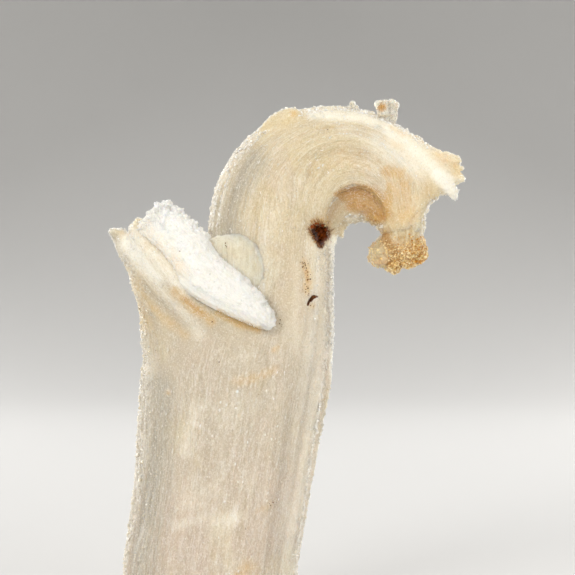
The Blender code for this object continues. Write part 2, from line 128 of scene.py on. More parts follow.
LIP_LEAN = -33.0  # degrees: the direction of the fibres at the ragged end
STUB_LEAN = -48.6  # and on the stub
STRANDS = {
    "upper_blade": Strand(0, 0.3, None, [
        (-11.7, -6, 79.2, 4.1, 2.9), (-10.8, -6.4, 78.4, 4.6, 3.9), (-8.4, -7.2, 76, 5, 4.4),
        (-5, -8.2, 72.5, 5.2, 4.5), (-2.4, -8.8, 69.2, 4.9, 4.4), (0.8, -9.2, 66.6, 4.5, 4.1),
        (5.1, -9.6, 63.7, 3.9, 3.8), (8.2, -9.8, 61.5, 3.1, 3.3), (10.6, -9.8, 59.4, 2.2, 2.6),
        (12, -9.6, 57.8, 0.9, 1.3),
    ]),
    "middle_blade": Strand(10, 1, STUB_LEAN, [
        (-15.6, -4.6, 77.2, 0.7, 1), (-14, -6, 76, 1.6, 2), (-11, -8, 72.8, 1.8, 2.4),
        (-8, -9.4, 69.4, 1.7, 2.6), (-5.4, -10, 66, 1.4, 2.2), (-3.8, -9.8, 63.8, 0.6, 1),
    ]),
    "lower_blade": Strand(20, 0.8, STUB_LEAN, [
        (-18, -3.8, 74.6, 1.1, 1.4), (-16.6, -5, 72.8, 2, 2.2), (-14, -6.5, 70.4, 2.3, 2.6),
        (-11.2, -7.9, 67.4, 2.4, 2.7), (-8.2, -8.5, 64.4, 2.3, 2.5), (-5.2, -8.8, 61.8, 2.1, 2.1),
        (-2.2, -8.7, 58.8, 1.8, 1.3), (-0.2, -8.2, 56, 0.9, 0.7),
    ]),
    "blade_web": Strand(60, 0.4, STUB_LEAN, [  # between the lower blade and the white one
        (-13.6, -6.2, 78.6, 0.9, 1.2), (-13.3, -6.9, 76.8, 1.9, 2.3), (-12.4, -7.6, 74.6, 2.5, 3),
        (-10.4, -8.5, 72, 2.9, 3.4), (-7.7, -9.2, 69, 2.9, 3.4), (-5.3, -9.5, 66, 2.3, 2.9),
        (-3.6, -9, 62.9, 1.4, 1.8), (-1.8, -8.6, 60.8, 0.6, 0.8),
    ]),
    "blade_flank": Strand(40, 0.4, STUB_LEAN, [  # from the lower blade down to the leaf's margin
        (-15.4, -3.4, 70, 0.8, 2), (-13.9, -4.6, 67.2, 1.6, 2.9), (-11.9, -5.2, 64, 2, 3.1),
        (-9.6, -5.7, 61, 2.2, 3), (-7, -5.5, 58.2, 1.9, 2.7), (-4.8, -4.6, 56, 1.4, 2),
        (-3.2, -3.6, 54.4, 0.6, 1),
    ]),
    "under_blade": Strand(80, 0.4, STUB_LEAN, [  # fills the hollow under the white blade
        (-5.4, -8.6, 65.2, 1.4, 1.8), (-2.8, -8.8, 62.6, 2, 2.1), (0.4, -8.7, 60.4, 1.9, 1.8),
        (4, -8.6, 58.6, 1.6, 1.3), (7.6, -8.5, 57.2, 0.9, 0.7),
    ]),
    "seam_rib": Strand(30, 1, None, [
        (16.4, -7, 50, 0.8, 0.8), (16.8, -7.2, 58, 1.7, 1.4), (17.1, -6.9, 66, 1.8, 1.4),
        (17.5, -5.8, 73, 0.8, 0.8),
    ]),
    "rim_mound": Strand(40, 1, None, [
        (9.6, -1, 96, 0.7, 1.6), (12.8, -1.2, 98.2, 1.6, 3.2), (16, -1.2, 99.4, 1.7, 3.4),
        (18.4, -1, 98.6, 0.7, 2),
    ]),
    "lip_prong": Strand(60, 0.8, LIP_LEAN, [
        (38, -3.2, 92.6, 1.6, 1.6), (41.6, -4, 90.4, 2, 2), (44.6, -4.4, 87.8, 2.2, 1.9),
        (46.7, -4.5, 85.4, 1.5, 1.4), (47.9, -4.4, 83.8, 1, 0.9), (48.2, -4.3, 82.8, 0.35, 0.4),
    ]),
    "throat_tooth": Strand(60, 1, None, [
        (24.6, 0.4, 78, 1, 1.6), (25.6, 0.2, 76.4, 0.7, 1.1), (26.2, 0, 75.4, 0.25, 0.4),
    ]),
}
STRAND_STEP = 0.5
STRAND_SQUARENESS = 0.65
STRAND_AROUND = (40, 12)
RIDGE_PITCH = 1
STRAND_RIDGE = 1.1
STRAND_BREAK = 0.9

FRONT_PLATE = Plate(-9.5, -5, 0.7, [
    (-1.2, 74.6), (1.2, 75.6), (4.2, 76), (7, 75.8), (8.6, 74.2), (10, 72.2), (11, 69.6), (11.4, 66.6),
    (11.3, 62.8), (10, 59), (5, 60), (0, 66),
])
PLATE_TILT = 0.1  # how much further back it goes for each millimetre to the right
PLATE_STEP = 0.12  # how far its edge stands in front of the fibres
LIP_BLOCK = Plate(-6.2, 1.4, 1, [
    (38.6, 93.6), (42, 92.4), (45, 91), (46.4, 88.6), (46.6, 85.8), (44, 84.6), (39, 86),
])
LIP_SHEET = Plate(-6.4, -4.2, 0.3, [  # the front one of the torn sheets
    (40, 93.8), (43.6, 92.9), (45.8, 92.2), (47.6, 91.7), (48.8, 91.2), (49.5, 90.2), (48.1, 89.8),
    (49.8, 89), (48.2, 88.4), (49.1, 87.7), (50.1, 86.9), (49.6, 86.1), (47.6, 86.8), (44, 86.6),
    (40, 88),
])
LAMINA = [  # the outline of the two sheets behind it, from the top and down the torn edge
    (40, 93.8), (43.6, 92.9), (45.8, 92.2), (47.6, 91.7), (48.7, 91.1), (49.4, 90.2), (48.7, 89.7),
    (49.7, 88.9), (49.2, 88.4), (49.3, 87.6), (50, 86.9), (49.6, 86.2), (47.7, 86.5), (44, 86.6),
    (40, 88),
]
TORN_CORNERS = 10  # so many of them lie on the torn edge
LAMINA_SHEETS = [(-0.7, -0.4, -3.7, -2.1), (-1.5, 0.1, -1.7, 0.1)]  # shifts in x and z, front and back

RIM_CRYSTALS = rows(
    Crystal, (27.6, -1.6, 100.8, 0.45, 0.8, 1, -32), (28.3, -1.5, 101.3, 0.5, 0.8, 1.3, -20),
    (28.9, -1.4, 100.6, 0.4, 0.7, 1.1, -8), (33.5, -2.2, 101, 0.75, 1, 1.5, -24),
    (34.3, -2.4, 101, 0.8, 1.2, 1.6, -8), (34, -1.6, 99.6, 1.1, 1.2, 1.1, 4),
    (35.7, -1.6, 101.2, 0.75, 1.1, 1.6, 4), (36.4, -1.4, 101, 0.6, 0.9, 1.5, 14),
    (35.9, -1.2, 99.4, 0.9, 1.1, 1.3, 12), (31, 1.8, 100, 0.9, 1.1, 0.9, 24),
    (31.9, 1.4, 100.1, 0.6, 0.9, 0.7, 40), (6.8, 2.6, 93.2, 1.1, 1.5, 1.2, -40),
)
KNOB_LUMPS = rows(
    Lump, (38.6, -2.6, 72.5, 4, 4.1, 3.2), (33.8, -2.5, 72, 2.7, 3.7, 2.7), (39.6, -2, 74, 2.4, 3.4, 2.2),
    (36, -2.4, 70.4, 2.2, 3.1, 2),
)
LUMP_SWELL = 0.2
KNOB_FLARE = rows(  # the neck widens into the knob
    Level, (80.4, 36.4, 40.8, 2.4), (78.6, 35, 41.4, 3.4), (77.2, 34.2, 41.8, 3.9), (75.8, 33.5, 42, 4.15),
    (74.6, 32.4, 42.2, 4.2), (73.4, 31.8, 42.4, 4.2), (72, 32.2, 42, 3.9), (70.8, 33.4, 40.8, 2.9),
)
FLARE_STATIONS = 24
FLARE_AROUND = 60
FLARE_SQUARENESS = 0.8
KNOB_MIDDLE_Y = -2.6
KNOB_GRAIN = 0.5

PIT = Pit((21.7, 76.4), [
    (-2.3, 0.4), (-1.7, 1.9), (0, 1.8), (1.4, 1.5), (2, -0.3), (2, -1.6), (0.9, -2.1), (-0.15, -3.1),
    (-1, -2), (-1.7, -0.7),
], (-14, -3.8), (1.55, 0.5), 3)
CHIP = Pit((19.8, 63.4), [
    (-0.85, -1.15), (-0.65, -1.1), (-0.35, -0.65), (0.2, -0.3), (0.5, 0), (1.1, 0.35), (0.3, 0.7),
    (-0.2, 0.35), (-0.75, -0.5),
], (-12, -7.2), (1.1, 0.8), 8)
PIT_SIDE_PARTS = 6
PIT_STEPS = 14
PIT_ROUGHNESS = 0.16

BODY_VOXEL = 0.30
BODY_TRIANGLES = 196000
BLADE_VOXEL = 0.22
KNOB_VOXEL = 0.2
STEM_ROUND = 17  # the radius that turns a share of a turn round the bundle into millimetres


def smoothstep(value):
    value = min(1, max(0, value))
    return value * value * (3 - 2 * value)


def powered(value, power):
    return math.copysign(abs(value) ** power, value)


def along_curve(points, share):
    """The point this share of the way along named tuples, on a Catmull-Rom curve through all of them."""
    place = share * (len(points) - 1)
    first = min(int(place), len(points) - 2)
    t = place - first
    mixed = [
        0.5 * (2 * q + (r - p) * t + (2 * p - 5 * q + 4 * r - s) * t**2 + (3 * q - p - 3 * r + s) * t**3)
        for p, q, r, s in zip(*(points[min(max(first + k, 0), len(points) - 1)] for k in (-1, 0, 1, 2)))
    ]
    return type(points[0])(*mixed)


def on_circle(centre, radius, angle):
    return centre[0] + radius * math.cos(angle), centre[1] + radius * math.sin(angle)


def curl_rib(share):
    rim_angle, throat_angle = (
        math.radians(first + (last - first) * share) for first, last in (CURL_ANGLES, THROAT_ANGLES)
    )
    rim_radius = CURL_RADIUS + CURL_OPENING * share**2.2 + LIP_REACH * share**12
    throat_radius = THROAT_RADII[1] + (THROAT_RADII[0] - THROAT_RADII[1]) * (1 - share) ** 6
    depth = CURL_DEPTHS[0] + (CURL_DEPTHS[1] - CURL_DEPTHS[0]) * share**1.2
    rim = on_circle(CURL_CENTRE, rim_radius, rim_angle)
    return Rib(*rim, *on_circle(THROAT_CENTRE, throat_radius, throat_angle), depth, 0.5 - 2.7 * share**2)


def fluting(turn, along):
    """How far the fibres stand out, by the share of a turn round the bundle and the distance along it."""
    angle = 2 * math.pi * turn
    around = Vector((math.cos(angle), math.sin(angle), 0))
    drift = Vector((0, 0, along * FLUTE_DRIFT))
    flute = FLUTE_HEIGHT * noise.noise(around * FLUTES_ROUND + drift)
    ridge = RIDGE_HEIGHT * (0.25 - abs(noise.noise(around * RIDGES_ROUND + drift * 2)))
    behind = smoothstep(-4 * math.sin(angle))
    furrow_at, furrow_width, furrow_depth = BACK_FURROW
    furrow = furrow_depth * math.exp(-(((turn - furrow_at) / furrow_width) ** 2))
    return (flute + ridge) * (1 + (BACK_SHARE - 1) * behind) - furrow


def bundle_angles(seam_across):
    seam = math.acos(-powered(seam_across, ROUNDNESS / 2))
    past = FRONT_POINTS - SEAM_POINT
    to_seam = [seam * k / SEAM_POINT for k in range(SEAM_POINT)]
    from_seam = [seam + (math.pi - seam) * k / past for k in range(past)]
    return to_seam + from_seam + [math.pi + math.pi * k / BACK_POINTS for k in range(BACK_POINTS)]


def section(rib, along, angles, calm=0, seam_depth=0, ledge_depth=0):
    """The outline of a bundle at one rib, and its fibre coordinates."""
    width = math.hypot(rib.throat_x - rib.rim_x, rib.throat_z - rib.rim_z)
    ring, fibres = [], []
    for number, angle in enumerate(angles):
        turn = number / len(angles)
        across, deep = (-powered(f(angle), 2 / ROUNDNESS) for f in (math.cos, math.sin))
        outwards = Vector((across * rib.depth, deep * width)).normalized()
        out = fluting(turn, along) * min(1, rib.depth / FULL_FLUTES_FROM)
        out *= 1 - calm * smoothstep(across)
        set_back = 0.0
        seam_off = abs(number - SEAM_POINT) / FINER_ROUND
        if SEAM_POINT < number < FRONT_POINTS:
            past = (number - SEAM_POINT - FINER_ROUND) / (FRONT_POINTS - SEAM_POINT)
            set_back = ledge_depth * (1 - LEDGE_FLOOR_RISE * max(0, past)) * smoothstep(seam_off * 1.8)
        if seam_off < 1:
            out -= seam_depth * (1 - seam_off)
        share = (across + 1) / 2 + outwards.x * out / width
        x = rib.rim_x + (rib.throat_x - rib.rim_x) * share
        z = rib.rim_z + (rib.throat_z - rib.rim_z) * share
        ring.append(Vector((x, rib.middle + deep * rib.depth / 2 + outwards.y * out + set_back, z)))
        fibres.append(Vector((*on_circle((0, 0), STEM_ROUND, 2 * math.pi * turn), along)))
    return ring, fibres


def main_stations():
    for k in range(STEM_STATIONS):
        yield along_curve(STEM_RIBS, k / STEM_STATIONS), SEAM_ACROSS, 0, SEAM_DEPTH, 0
    for k in range(CURL_STATIONS + 1):
        share = k / CURL_STATIONS
        seam_across = SEAM_ACROSS + (LEDGE_ACROSS - SEAM_ACROSS) * math.sin(math.pi * share**LEDGE_SKEW)
        seam_depth = SEAM_DEPTH * (1 - smoothstep(8 * share))
        hollow = LEDGE_DEPTH * max(0, math.sin(math.pi * share)) ** 0.7
        yield curl_rib(share), seam_across, THROAT_CALM * smoothstep(6 * share), seam_depth, hollow
    for k in range(1, END_STATIONS + 1):
        yield along_curve([curl_rib(1), *END_RIBS], k / END_STATIONS), SEAM_ACROSS, THROAT_CALM, 0, 0


class Forms:
    """Overlapping closed skins, with fibre coordinates at every point, that a remesh makes one skin of."""

    def __init__(self):
        self.points, self.fibres, self.faces = [], [], []

    def add_rings(self, rings):
        """A closed skin over rings of (points, fibre coordinates)."""
        base, around = len(self.points), len(rings[0][0])
        for ring, fibres in rings:
            self.points += ring
            self.fibres += fibres
        edges = [
            [(base + k * around + j, base + k * around + (j + 1) % around) for j in range(around)]
            for k in range(len(rings))
        ]
        for edge_ring in edges[:-1]:
            self.faces += [(a, b, b + around, a + around) for a, b in edge_ring]
        for k, step in ((0, -1), (-1, 1)):
            middle = len(self.points)
            self.points.append(sum(rings[k][0], Vector()) / around)
            self.fibres.append(sum(rings[k][1], Vector()) / around)
            self.faces += [(*edge[::step], middle) for edge in edges[k]]

    def add_bmesh(self, mesh):
        base = len(self.points)
        for vert in mesh.verts:
            self.points.append(vert.co.copy())
            self.fibres.append(vert.co.copy())
        mesh.verts.index_update()
        self.faces += [tuple(base + vert.index for vert in face.verts) for face in mesh.faces]
        mesh.free()


def main_rings():
    rings = []
    along = 0.0
    last_middle = None
    for rib, seam_across, *depths in main_stations():
        middle = Vector(((rib.rim_x + rib.throat_x) / 2, (rib.rim_z + rib.throat_z) / 2))
        along += (middle - last_middle).length if last_middle else 0.0
        last_middle = middle
        rings.append(section(rib, along, bundle_angles(seam_across), *depths))
    return rings


def short_bundle_rings(ribs, stations, around, phase):
    angles = [2 * math.pi * k / around for k in range(around)]
    return [
        section(along_curve(ribs, k / stations), phase + SHORT_BUNDLE_STEP * k, angles)
        for k in range(stations + 1)
    ]


def strand_rings(name):
    """A strand's skin. Its fibres run along it, or as those of its neighbours do where it has a lean."""
    phase, ridges, lean, knots = STRANDS[name]
    knots = rows(Knot, *knots)
    length = sum(math.dist(a[:3], b[:3]) for a, b in zip(knots, knots[1:]))
    solid_count = max(len(knots), math.ceil(length / 2.1))
    count = max(len(knots), math.ceil(length / STRAND_STEP))
    widest = max(knot.wide for knot in knots)
    around = round(STRAND_AROUND[0] + STRAND_AROUND[1] * widest)
    rings = []
    for k in range(count + 1):
        knot = along_curve(knots, k / count)
        ahead = along_curve(knots, min(1, k / count + 0.01))
        behind = along_curve(knots, max(0, k / count - 0.01))
        run = (Vector(ahead[:3]) - Vector(behind[:3])).normalized()
        side = run.cross(Vector((0, 1, 0))).normalized()
        front = side.cross(run)
        drift = Vector((0, 0, 0.06 * k * solid_count / count + phase))
        ring, fibres = [], []
        for j in range(around):
            cosine, sine = (f(2 * math.pi * j / around) for f in (math.cos, math.sin))
            place = Vector((cosine, sine, 0)) * widest / RIDGE_PITCH + drift
            ridge = ridges * STRAND_RIDGE * noise.noise(place) * min(1, knot.wide / 2)
            ragged = 0.0
            if k in (0, count):
                ragged = STRAND_BREAK * noise.noise(place + Vector((7, 0, 0))) * min(1, knot.wide / 2)
            wide = (knot.wide + ridge) * powered(cosine, STRAND_SQUARENESS)
            deep = (knot.deep + ridge) * powered(sine, STRAND_SQUARENESS)
            ring.append(Vector(knot[:3]) + side * wide + front * deep + run * ragged)
            fibres.append(Vector((widest * cosine + 40 + phase, widest * sine, length * k / count)))
        rings.append((ring, leaning_fibres(ring, lean) if lean else fibres))
    return rings


def leaning_fibres(points, lean):
    """Coordinates of fibres that run at this angle, seen from the front. Forms that share it show no seam."""
    run = Vector((math.cos(math.radians(lean)), 0, math.sin(math.radians(lean))))
    across = Vector((run.z, 0, -run.x))
    return [Vector((point.dot(across), point.y, point.dot(run))) for point in points]


def plate_rings(plate, lean=90):
    count = len(plate.corners)
    middle = Vector((sum(corner[k] for corner in plate.corners) / count for k in (0, 1)))
    reach = sum((Vector(corner) - middle).length for corner in plate.corners) / count
    bevelled = 1 - plate.bevel / reach
    rings = []
    for y, share in ((plate.back, 1), (plate.front + plate.bevel, 1), (plate.front, bevelled)):
        corners = [middle + (Vector(corner) - middle) * share for corner in plate.corners]
        ring = [Vector((corner.x, y, corner.y)) for corner in corners]
        rings.append((ring, leaning_fibres(ring, lean)))
    return rings


def divided(corners, parts_of):
    """The corners of a closed outline and places between them. A side's length gives its number of parts."""
    places = []
    for (ax, az), (bx, bz) in zip(corners, corners[1:] + corners[:1]):
        parts = parts_of(math.hypot(bx - ax, bz - az))
        places += [(ax + (bx - ax) * t, az + (bz - az) * t) for t in (k / parts for k in range(parts))]
    return places


def finely(plate, step, ragged):
    """The plate with many more corners, and a ragged outline."""
    corners = []
    for x, z in divided(plate.corners, lambda length: max(1, round(length / step))):
        shift = noise.noise_vector(Vector((x * 0.9, plate.back, z * 0.9))) * ragged
        corners.append((x + shift.x, z + shift.z))
    return plate._replace(corners=corners)


def crystal_mesh(crystal):
    mesh = bmesh.new()
    bmesh.ops.create_cube(mesh, size=2)
    bmesh.ops.scale(mesh, vec=Vector(crystal[3:6]), verts=mesh.verts)
    bmesh.ops.bevel(mesh, geom=mesh.edges, offset=0.3, segments=1, affect="EDGES")
    bmesh.ops.rotate(mesh, matrix=Matrix.Rotation(math.radians(crystal.lean), 3, "Y"), verts=mesh.verts)
    bmesh.ops.translate(mesh, vec=Vector(crystal[:3]), verts=mesh.verts)
    return mesh


def lump_mesh(lump):
    mesh = bmesh.new()
    bmesh.ops.create_icosphere(mesh, subdivisions=5, radius=1)
    centre = Vector(lump[:3])
    for vert in mesh.verts:
        swell_by = 1 + LUMP_SWELL * noise.noise(vert.co / KNOB_GRAIN + centre)
        vert.co = centre + Vector(half * swell_by * u for half, u in zip(lump[3:], vert.co))
    return mesh


# ---- Marks: stains, pale places, dirt, and painted shade and light, as lines or spots seen from the front

# Each has its line, its reach and its strength

MARKS = {
    "ochre": [
        ([(5.2, 47.2), (8.6, 47.8), (12.4, 49.6)], 1.4, 0.55), ([(12.6, 53.4), (13.4, 53.9)], 0.8, 0.6),
        ([(-8, 45)], 0.8, 0.6), ([(5.4, 9.4), (7.4, 11.4)], 2.2, 0.6), ([(9.6, 22.4), (12, 23.6)], 1, 0.4),
        ([(16.4, 99.8)], 1, 0.8), ([(34.4, 88.2), (37, 87.4)], 1.7, 0.9),
        ([(34, 94.4), (37.6, 93)], 1.3, 0.4), ([(35.2, 85.4), (34.9, 82)], 1.3, 0.9),
        ([(42.6, 84.8), (43.4, 83.2)], 1.8, 0.45), ([(35.4, 80.6), (36.4, 75.6)], 2, 0.6),
        ([(37.4, 86), (38.2, 79)], 3.2, 0.7), ([(44.4, 91.4), (46.8, 90.2), (48.6, 88.2)], 1.8, 0.5),
        ([(35.6, 97), (38, 95.8)], 0.9, 0.5), ([(20, 88.6), (26, 91.2), (33, 89.4)], 3, 0.35),
        ([(-16.6, 69.6), (-14, 65.2), (-11, 61.4), (-7.6, 58.4), (-4.6, 56.2)], 1.4, 0.5),
        ([(-14.6, 66.8), (-13, 58)], 2.4, 0.55),
        # Ochre stain and painted shade together: the next mark on the left of the white blade's head, and the
        # first mark on the line after it, in the groove under the blade.
        ([(-14.4, 78.6), (-11.8, 75.6), (-8.2, 71.6), (-5, 68.2)], 3, 0.42),
        ([(-6.6, 64.8), (-3.2, 61.6), (0.4, 59.2)], 1.5, 0.75), ([(20, 61.9)], 0.7, 0.8),
        ([(1.8, 60.6), (5, 58.8), (9.4, 57.4)], 1, 0.95), ([(21.3, 76.6)], 3.3, 0.7),
        ([(18.4, 70.4), (19.2, 67.6), (18.8, 64.6)], 1.1, 0.65),
    ],
    "tan": [
        # The marks in the hollow over the throat, between x 22 and 34 and z 78 and 85, are a tan stain and
        # also painted shadow under the hollow's roof.
        ([(18.7, 68.8), (19, 66.8)], 0.4, 0.6), ([(28, 82), (30.8, 81.6), (32.6, 79.4)], 1.9, 1),
        ([(26.4, 83.6), (28.8, 84.4), (31.2, 84), (33, 82.2), (33.8, 80)], 1.7, 1),
        # The second mark on the next line is a tan stain and also painted shade in the groove under the white
        # blade.
        ([(22.4, 78.6), (25, 81.8)], 2, 0.45), ([(-4.6, 63.2), (-1.4, 60.4)], 0.8, 0.6),
        ([(34, 76.2), (35.4, 73.6)], 1.7, 0.6), ([(3, 84), (6, 92)], 2.2, 0.2),
        ([(24.6, 83.7), (25.6, 84.3), (27.6, 84.8)], 0.6, 0.9),
    ],
    "dirt": [
        ([(19.5, 63), (20.1, 63.6), (20.3, 63.7)], 0.42, 1), ([(19.05, 62.1), (19.3, 62.8)], 0.24, 1),
        ([(20.3, 63.8), (20.9, 63.75)], 0.24, 1), ([(21.7, 76.1)], 2.3, 1),
        # The last mark on the next line lines the roof of the hollow over the throat: partly dirt, partly
        # painted shadow under the roof.
        ([(21.5, 75), (21.6, 74)], 1, 1), ([(24.8, 83.7), (25.6, 84.2), (26.8, 84.5)], 0.3, 0.5),
    ],
    "white": [
        ([(35, 96.2), (39, 93), (43.2, 89.4)], 2.6, 0.75), ([(44.4, 87.8), (46.4, 86), (48.2, 83)], 1.8, 1),
        ([(33, 94), (40, 88.6)], 3.6, 0.62), ([(32, 91), (38, 84), (39.4, 79)], 3.2, 0.35),
        ([(27.2, 79.3), (28.6, 79.4)], 0.9, 0.6), ([(2.4, 19.8), (5, 21.2)], 2.3, 0.5),
        ([(1.6, 80), (3.2, 88.6), (8.6, 96.2)], 1.2, 0.3), ([(20, 99.6), (30, 98.8), (38, 95.4)], 1.6, 0.7),
        ([(26, 96.6), (34, 93.6)], 2.4, 0.35), ([(-3.4, 39.4), (-2.2, 38.8)], 1, 0.5),
        # Partly painted light: the second mark on the next line lightens the neck's right flank, which turns
        # away from the lamps, over its pale edge.
        ([(17, 70), (16.8, 54)], 1.4, 0.3), ([(44.4, 84.6), (42.4, 80.4), (41.6, 76.8)], 0.6, 0.3),
        ([(-1.6, 42.8), (-3.4, 38.6), (-4.6, 33.6)], 1.9, 0.4), ([(-6.6, 19.4), (-1.4, 20.8)], 1.3, 0.4),
        # Partly painted light: the next mark lightens the stem's right band, which turns away from the lamps,
        # over its own paler tone.
        ([(21, 74), (20.8, 54), (19.2, 34), (16.4, 18), (14.6, 2)], 3.6, 0.42),
        ([(24.2, 75), (24.4, 60), (24.2, 48)], 1, 1), ([(6, 60), (10, 70), (12, 80)], 4, 0.3),
        ([(-15.8, 74.4), (-13.4, 71.2), (-10.2, 67.4)], 1.9, 0.85), ([(-16.2, 74.4), (-13.8, 71.6)], 2, 0.95),
        ([(-14.4, 75.6), (-11.4, 72.4), (-7.8, 68.6), (-4.6, 65)], 2.2, 0.7),
        ([(-10.6, 67), (-7, 62.8), (-3.4, 58.8), (-2, 56.4)], 1.8, 0.5),
    ],
    # Painted shade: these marks grey the left sides of the leaf tip, the horn and the stem, which turn away
    # from the lamps.
    "painted_shade": [
        ([(-19.6, 76.6), (-17.4, 73.4), (-16.2, 70.6)], 1.3, 0.8), ([(2.2, 72), (3.6, 82), (8, 90)], 4.6, 0.8),
        ([(-10, 46), (-10, 32), (-12.6, 16), (-13.4, 2)], 3.8, 0.85),
    ],
}
FRONT_FADE = (-1, 2.5)  # y where the marks of the front begin to fade, and where they are gone


def off_line(points, line):
    """The distance of each point from a line of places, seen from the front."""
    x, z = points[:, 0], points[:, 2]
    best = np.hypot(x - line[0][0], z - line[0][1])
    for (ax, az), (bx, bz) in zip(line, line[1:]):
        dx, dz = bx - ax, bz - az
        t = np.clip(((x - ax) * dx + (z - az) * dz) / (dx * dx + dz * dz), 0, 1)
        best = np.minimum(best, np.hypot(x - ax - t * dx, z - az - t * dz))
    return best


def near(points, line, reach, power=2):
    """1 on the line, and less with the distance from it."""
    return np.exp(-((off_line(points, line) / reach) ** power))


def mark_strengths(points):
    """How strongly each kind of mark shows at each place."""
    front = np.clip((FRONT_FADE[1] - points[:, 1]) / (FRONT_FADE[1] - FRONT_FADE[0]), 0, 1)
    return {
        kind: np.max([strength * near(points, line, reach) * front for line, reach, strength in marks], 0)
        for kind, marks in MARKS.items()
    }


# ---- Meshes


def linked(name, data):
    """A new object in the scene with this data."""
    obj = bpy.data.objects.new(name, data)
    bpy.context.scene.collection.objects.link(obj)
    return obj


def mesh_object(name, points, faces):
    data = bpy.data.meshes.new(name)
    data.from_pydata(points, [], faces)
    data.update()
    return linked(name, data)


def modify(obj, kind, **settings):
    """Adds a modifier and applies it."""
    modifier = obj.modifiers.new("modifier", kind)
    for key, value in settings.items():
        setattr(modifier, key, value)
    shaped = bpy.data.meshes.new_from_object(obj.evaluated_get(bpy.context.evaluated_depsgraph_get()))
    obj.modifiers.clear()
    old = obj.data
    obj.data = shaped
    bpy.data.meshes.remove(old)


def read_points(obj, what="co"):
    flat = np.empty(3 * len(obj.data.vertices))
    if what == "co":
        obj.data.vertices.foreach_get("co", flat)
    else:
        obj.data.vertex_normals.foreach_get("vector", flat)
    return flat.reshape(-1, 3)


def write_points(obj, points):
    obj.data.vertices.foreach_set("co", np.ascontiguousarray(points, dtype=np.float64).ravel())
    obj.data.update()


def one_skin(name, forms, voxel, smoothing=2):
    """The overlapping forms as one closed skin of even small faces."""
    obj = mesh_object(name, forms.points, forms.faces)
    modify(obj, "REMESH", mode="VOXEL", voxel_size=voxel, use_smooth_shade=True)
    modify(obj, "SMOOTH", factor=0.5, iterations=smoothing)
    return obj


def blend_creases(obj, weights, iterations):
    """Softens the skin where the weights are high, as where one form runs into another."""
    group = obj.vertex_groups.new(name="creases")
    for level in range(1, 11):
        chosen = np.flatnonzero(np.round(weights * 10) == level)
        group.add(chosen.tolist(), level / 10, "REPLACE")
    modify(obj, "SMOOTH", vertex_group="creases", factor=0.5, iterations=iterations)
    obj.vertex_groups.clear()


def cut_pit(obj, pit):
    """Cuts a pit with a ragged wall."""
    outline = divided(pit.corners, lambda _: PIT_SIDE_PARTS)
    rings = []
    for t in (step / PIT_STEPS for step in range(PIT_STEPS + 1)):
        share, y = (first + (last - first) * t for first, last in (pit.shares, pit.ys))
        ring = []
        for x, z in outline:
            place = Vector((pit.centre[0] + share * x, y, pit.centre[1] + share * z))
            ragged = PIT_ROUGHNESS * noise.noise(place * 1.9 + Vector((pit.seed, 0, 0)))
            ring.append(place + Vector((x, 0, z)) * ragged)
        rings.append((ring, ring))
    forms = Forms()
    forms.add_rings(rings)
    cutter = mesh_object("cutter", forms.points, forms.faces)
    shape = bmesh.new()
    shape.from_mesh(cutter.data)
    bmesh.ops.recalc_face_normals(shape, faces=shape.faces)
    shape.to_mesh(cutter.data)
    shape.free()
    modify(obj, "BOOLEAN", operation="DIFFERENCE", object=cutter, solver="EXACT")
    bpy.data.objects.remove(cutter)


FARTHEST_FIBRE = 1e4  # only a face without an area gives more


def fibre_coordinates(points, forms):
    """The fibre coordinates of the nearest place on the forms."""
    triangles = [(face[0], face[k], face[k + 1]) for face in forms.faces for k in range(1, len(face) - 1)]
    tree = BVHTree.FromPolygons(forms.points, triangles, all_triangles=True)
    found = np.zeros((len(points), 3))
    for number, point in enumerate(points):
        place, _, index, _ = tree.find_nearest(point)
        corners, fibres = ([values[k] for k in triangles[index]] for values in (forms.points, forms.fibres))
        value = barycentric_transform(place, *corners, *fibres)
        found[number] = value if value.length < FARTHEST_FIBRE else fibres[0]
    return found


# Layers of relief: how many waves there are in a millimetre across and along the fibres, and their height
FIBRE_LAYERS = rows(Layer, (0.5, 0.03, 0.07), (1.1, 0.08, 0.09), (2, 0.5, 0.13))
BLADE_LAYERS = rows(Layer, (0.45, 0.03, 0.16), (1.3, 0.1, 0.1), (2.4, 0.6, 0.1))
SHEET_LAYERS = rows(Layer, (0.9, 0.05, 0.12), (1.8, 0.15, 0.12), (3.2, 0.5, 0.08))
PLATE_LAYERS = rows(Layer, (0.7, 0.08, 0.14))


def fibre_heights(fibres, layers, seed=0):
    heights = np.zeros(len(fibres))
    for number, (x, y, along) in enumerate(fibres):
        for layer in layers:
            place = Vector((x * layer.across + seed, y * layer.across, along * layer.along + seed))
            heights[number] += layer.height * noise.noise(place)
    return heights


def grain_heights(points, per_mm, height, seed=0):
    """Rounded grains that stand out, the same in every direction."""
    places = (Vector((x * per_mm + seed, y * per_mm, z * per_mm)) for x, y, z in points)
    return np.array([height * (0.5 - noise.voronoi(place)[0][0]) for place in places])


def ragged_heights(points, edges):
    """Coarse, broken relief near these edges."""
    heights = np.zeros(len(points))
    for line, reach, height in edges:
        nearness = near(points, line, reach, 4)
        for number in np.flatnonzero(nearness > 0.05):
            place = Vector(points[number])
            rough = noise.noise(place * 0.75) + 0.6 * noise.noise(place * 1.7)
            heights[number] = max(heights[number], nearness[number] * height * rough, key=abs)
    return heights


def swell(obj, heights, floor=None):
    """Moves every point out along its normal, and keeps the flat cut at the bottom flat."""
    points, normals = read_points(obj), read_points(obj, "normal")
    moved = points + normals * heights[:, None]
    if floor is not None:
        moved[points[:, 2] < floor + 0.2, 2] = floor
        moved[:, 2] = np.maximum(moved[:, 2], floor)
    write_points(obj, moved)


def set_vector(obj, name, *parts):
    """Stores three numbers at every point. One that is the same all over can be given once."""
    values = np.stack(np.broadcast_arrays(*parts), 1)
    data = obj.data.attributes.new(name, "FLOAT_VECTOR", "POINT")
    data.data.foreach_set("vector", np.ascontiguousarray(values, dtype=np.float64).ravel())


# ---- Finishes


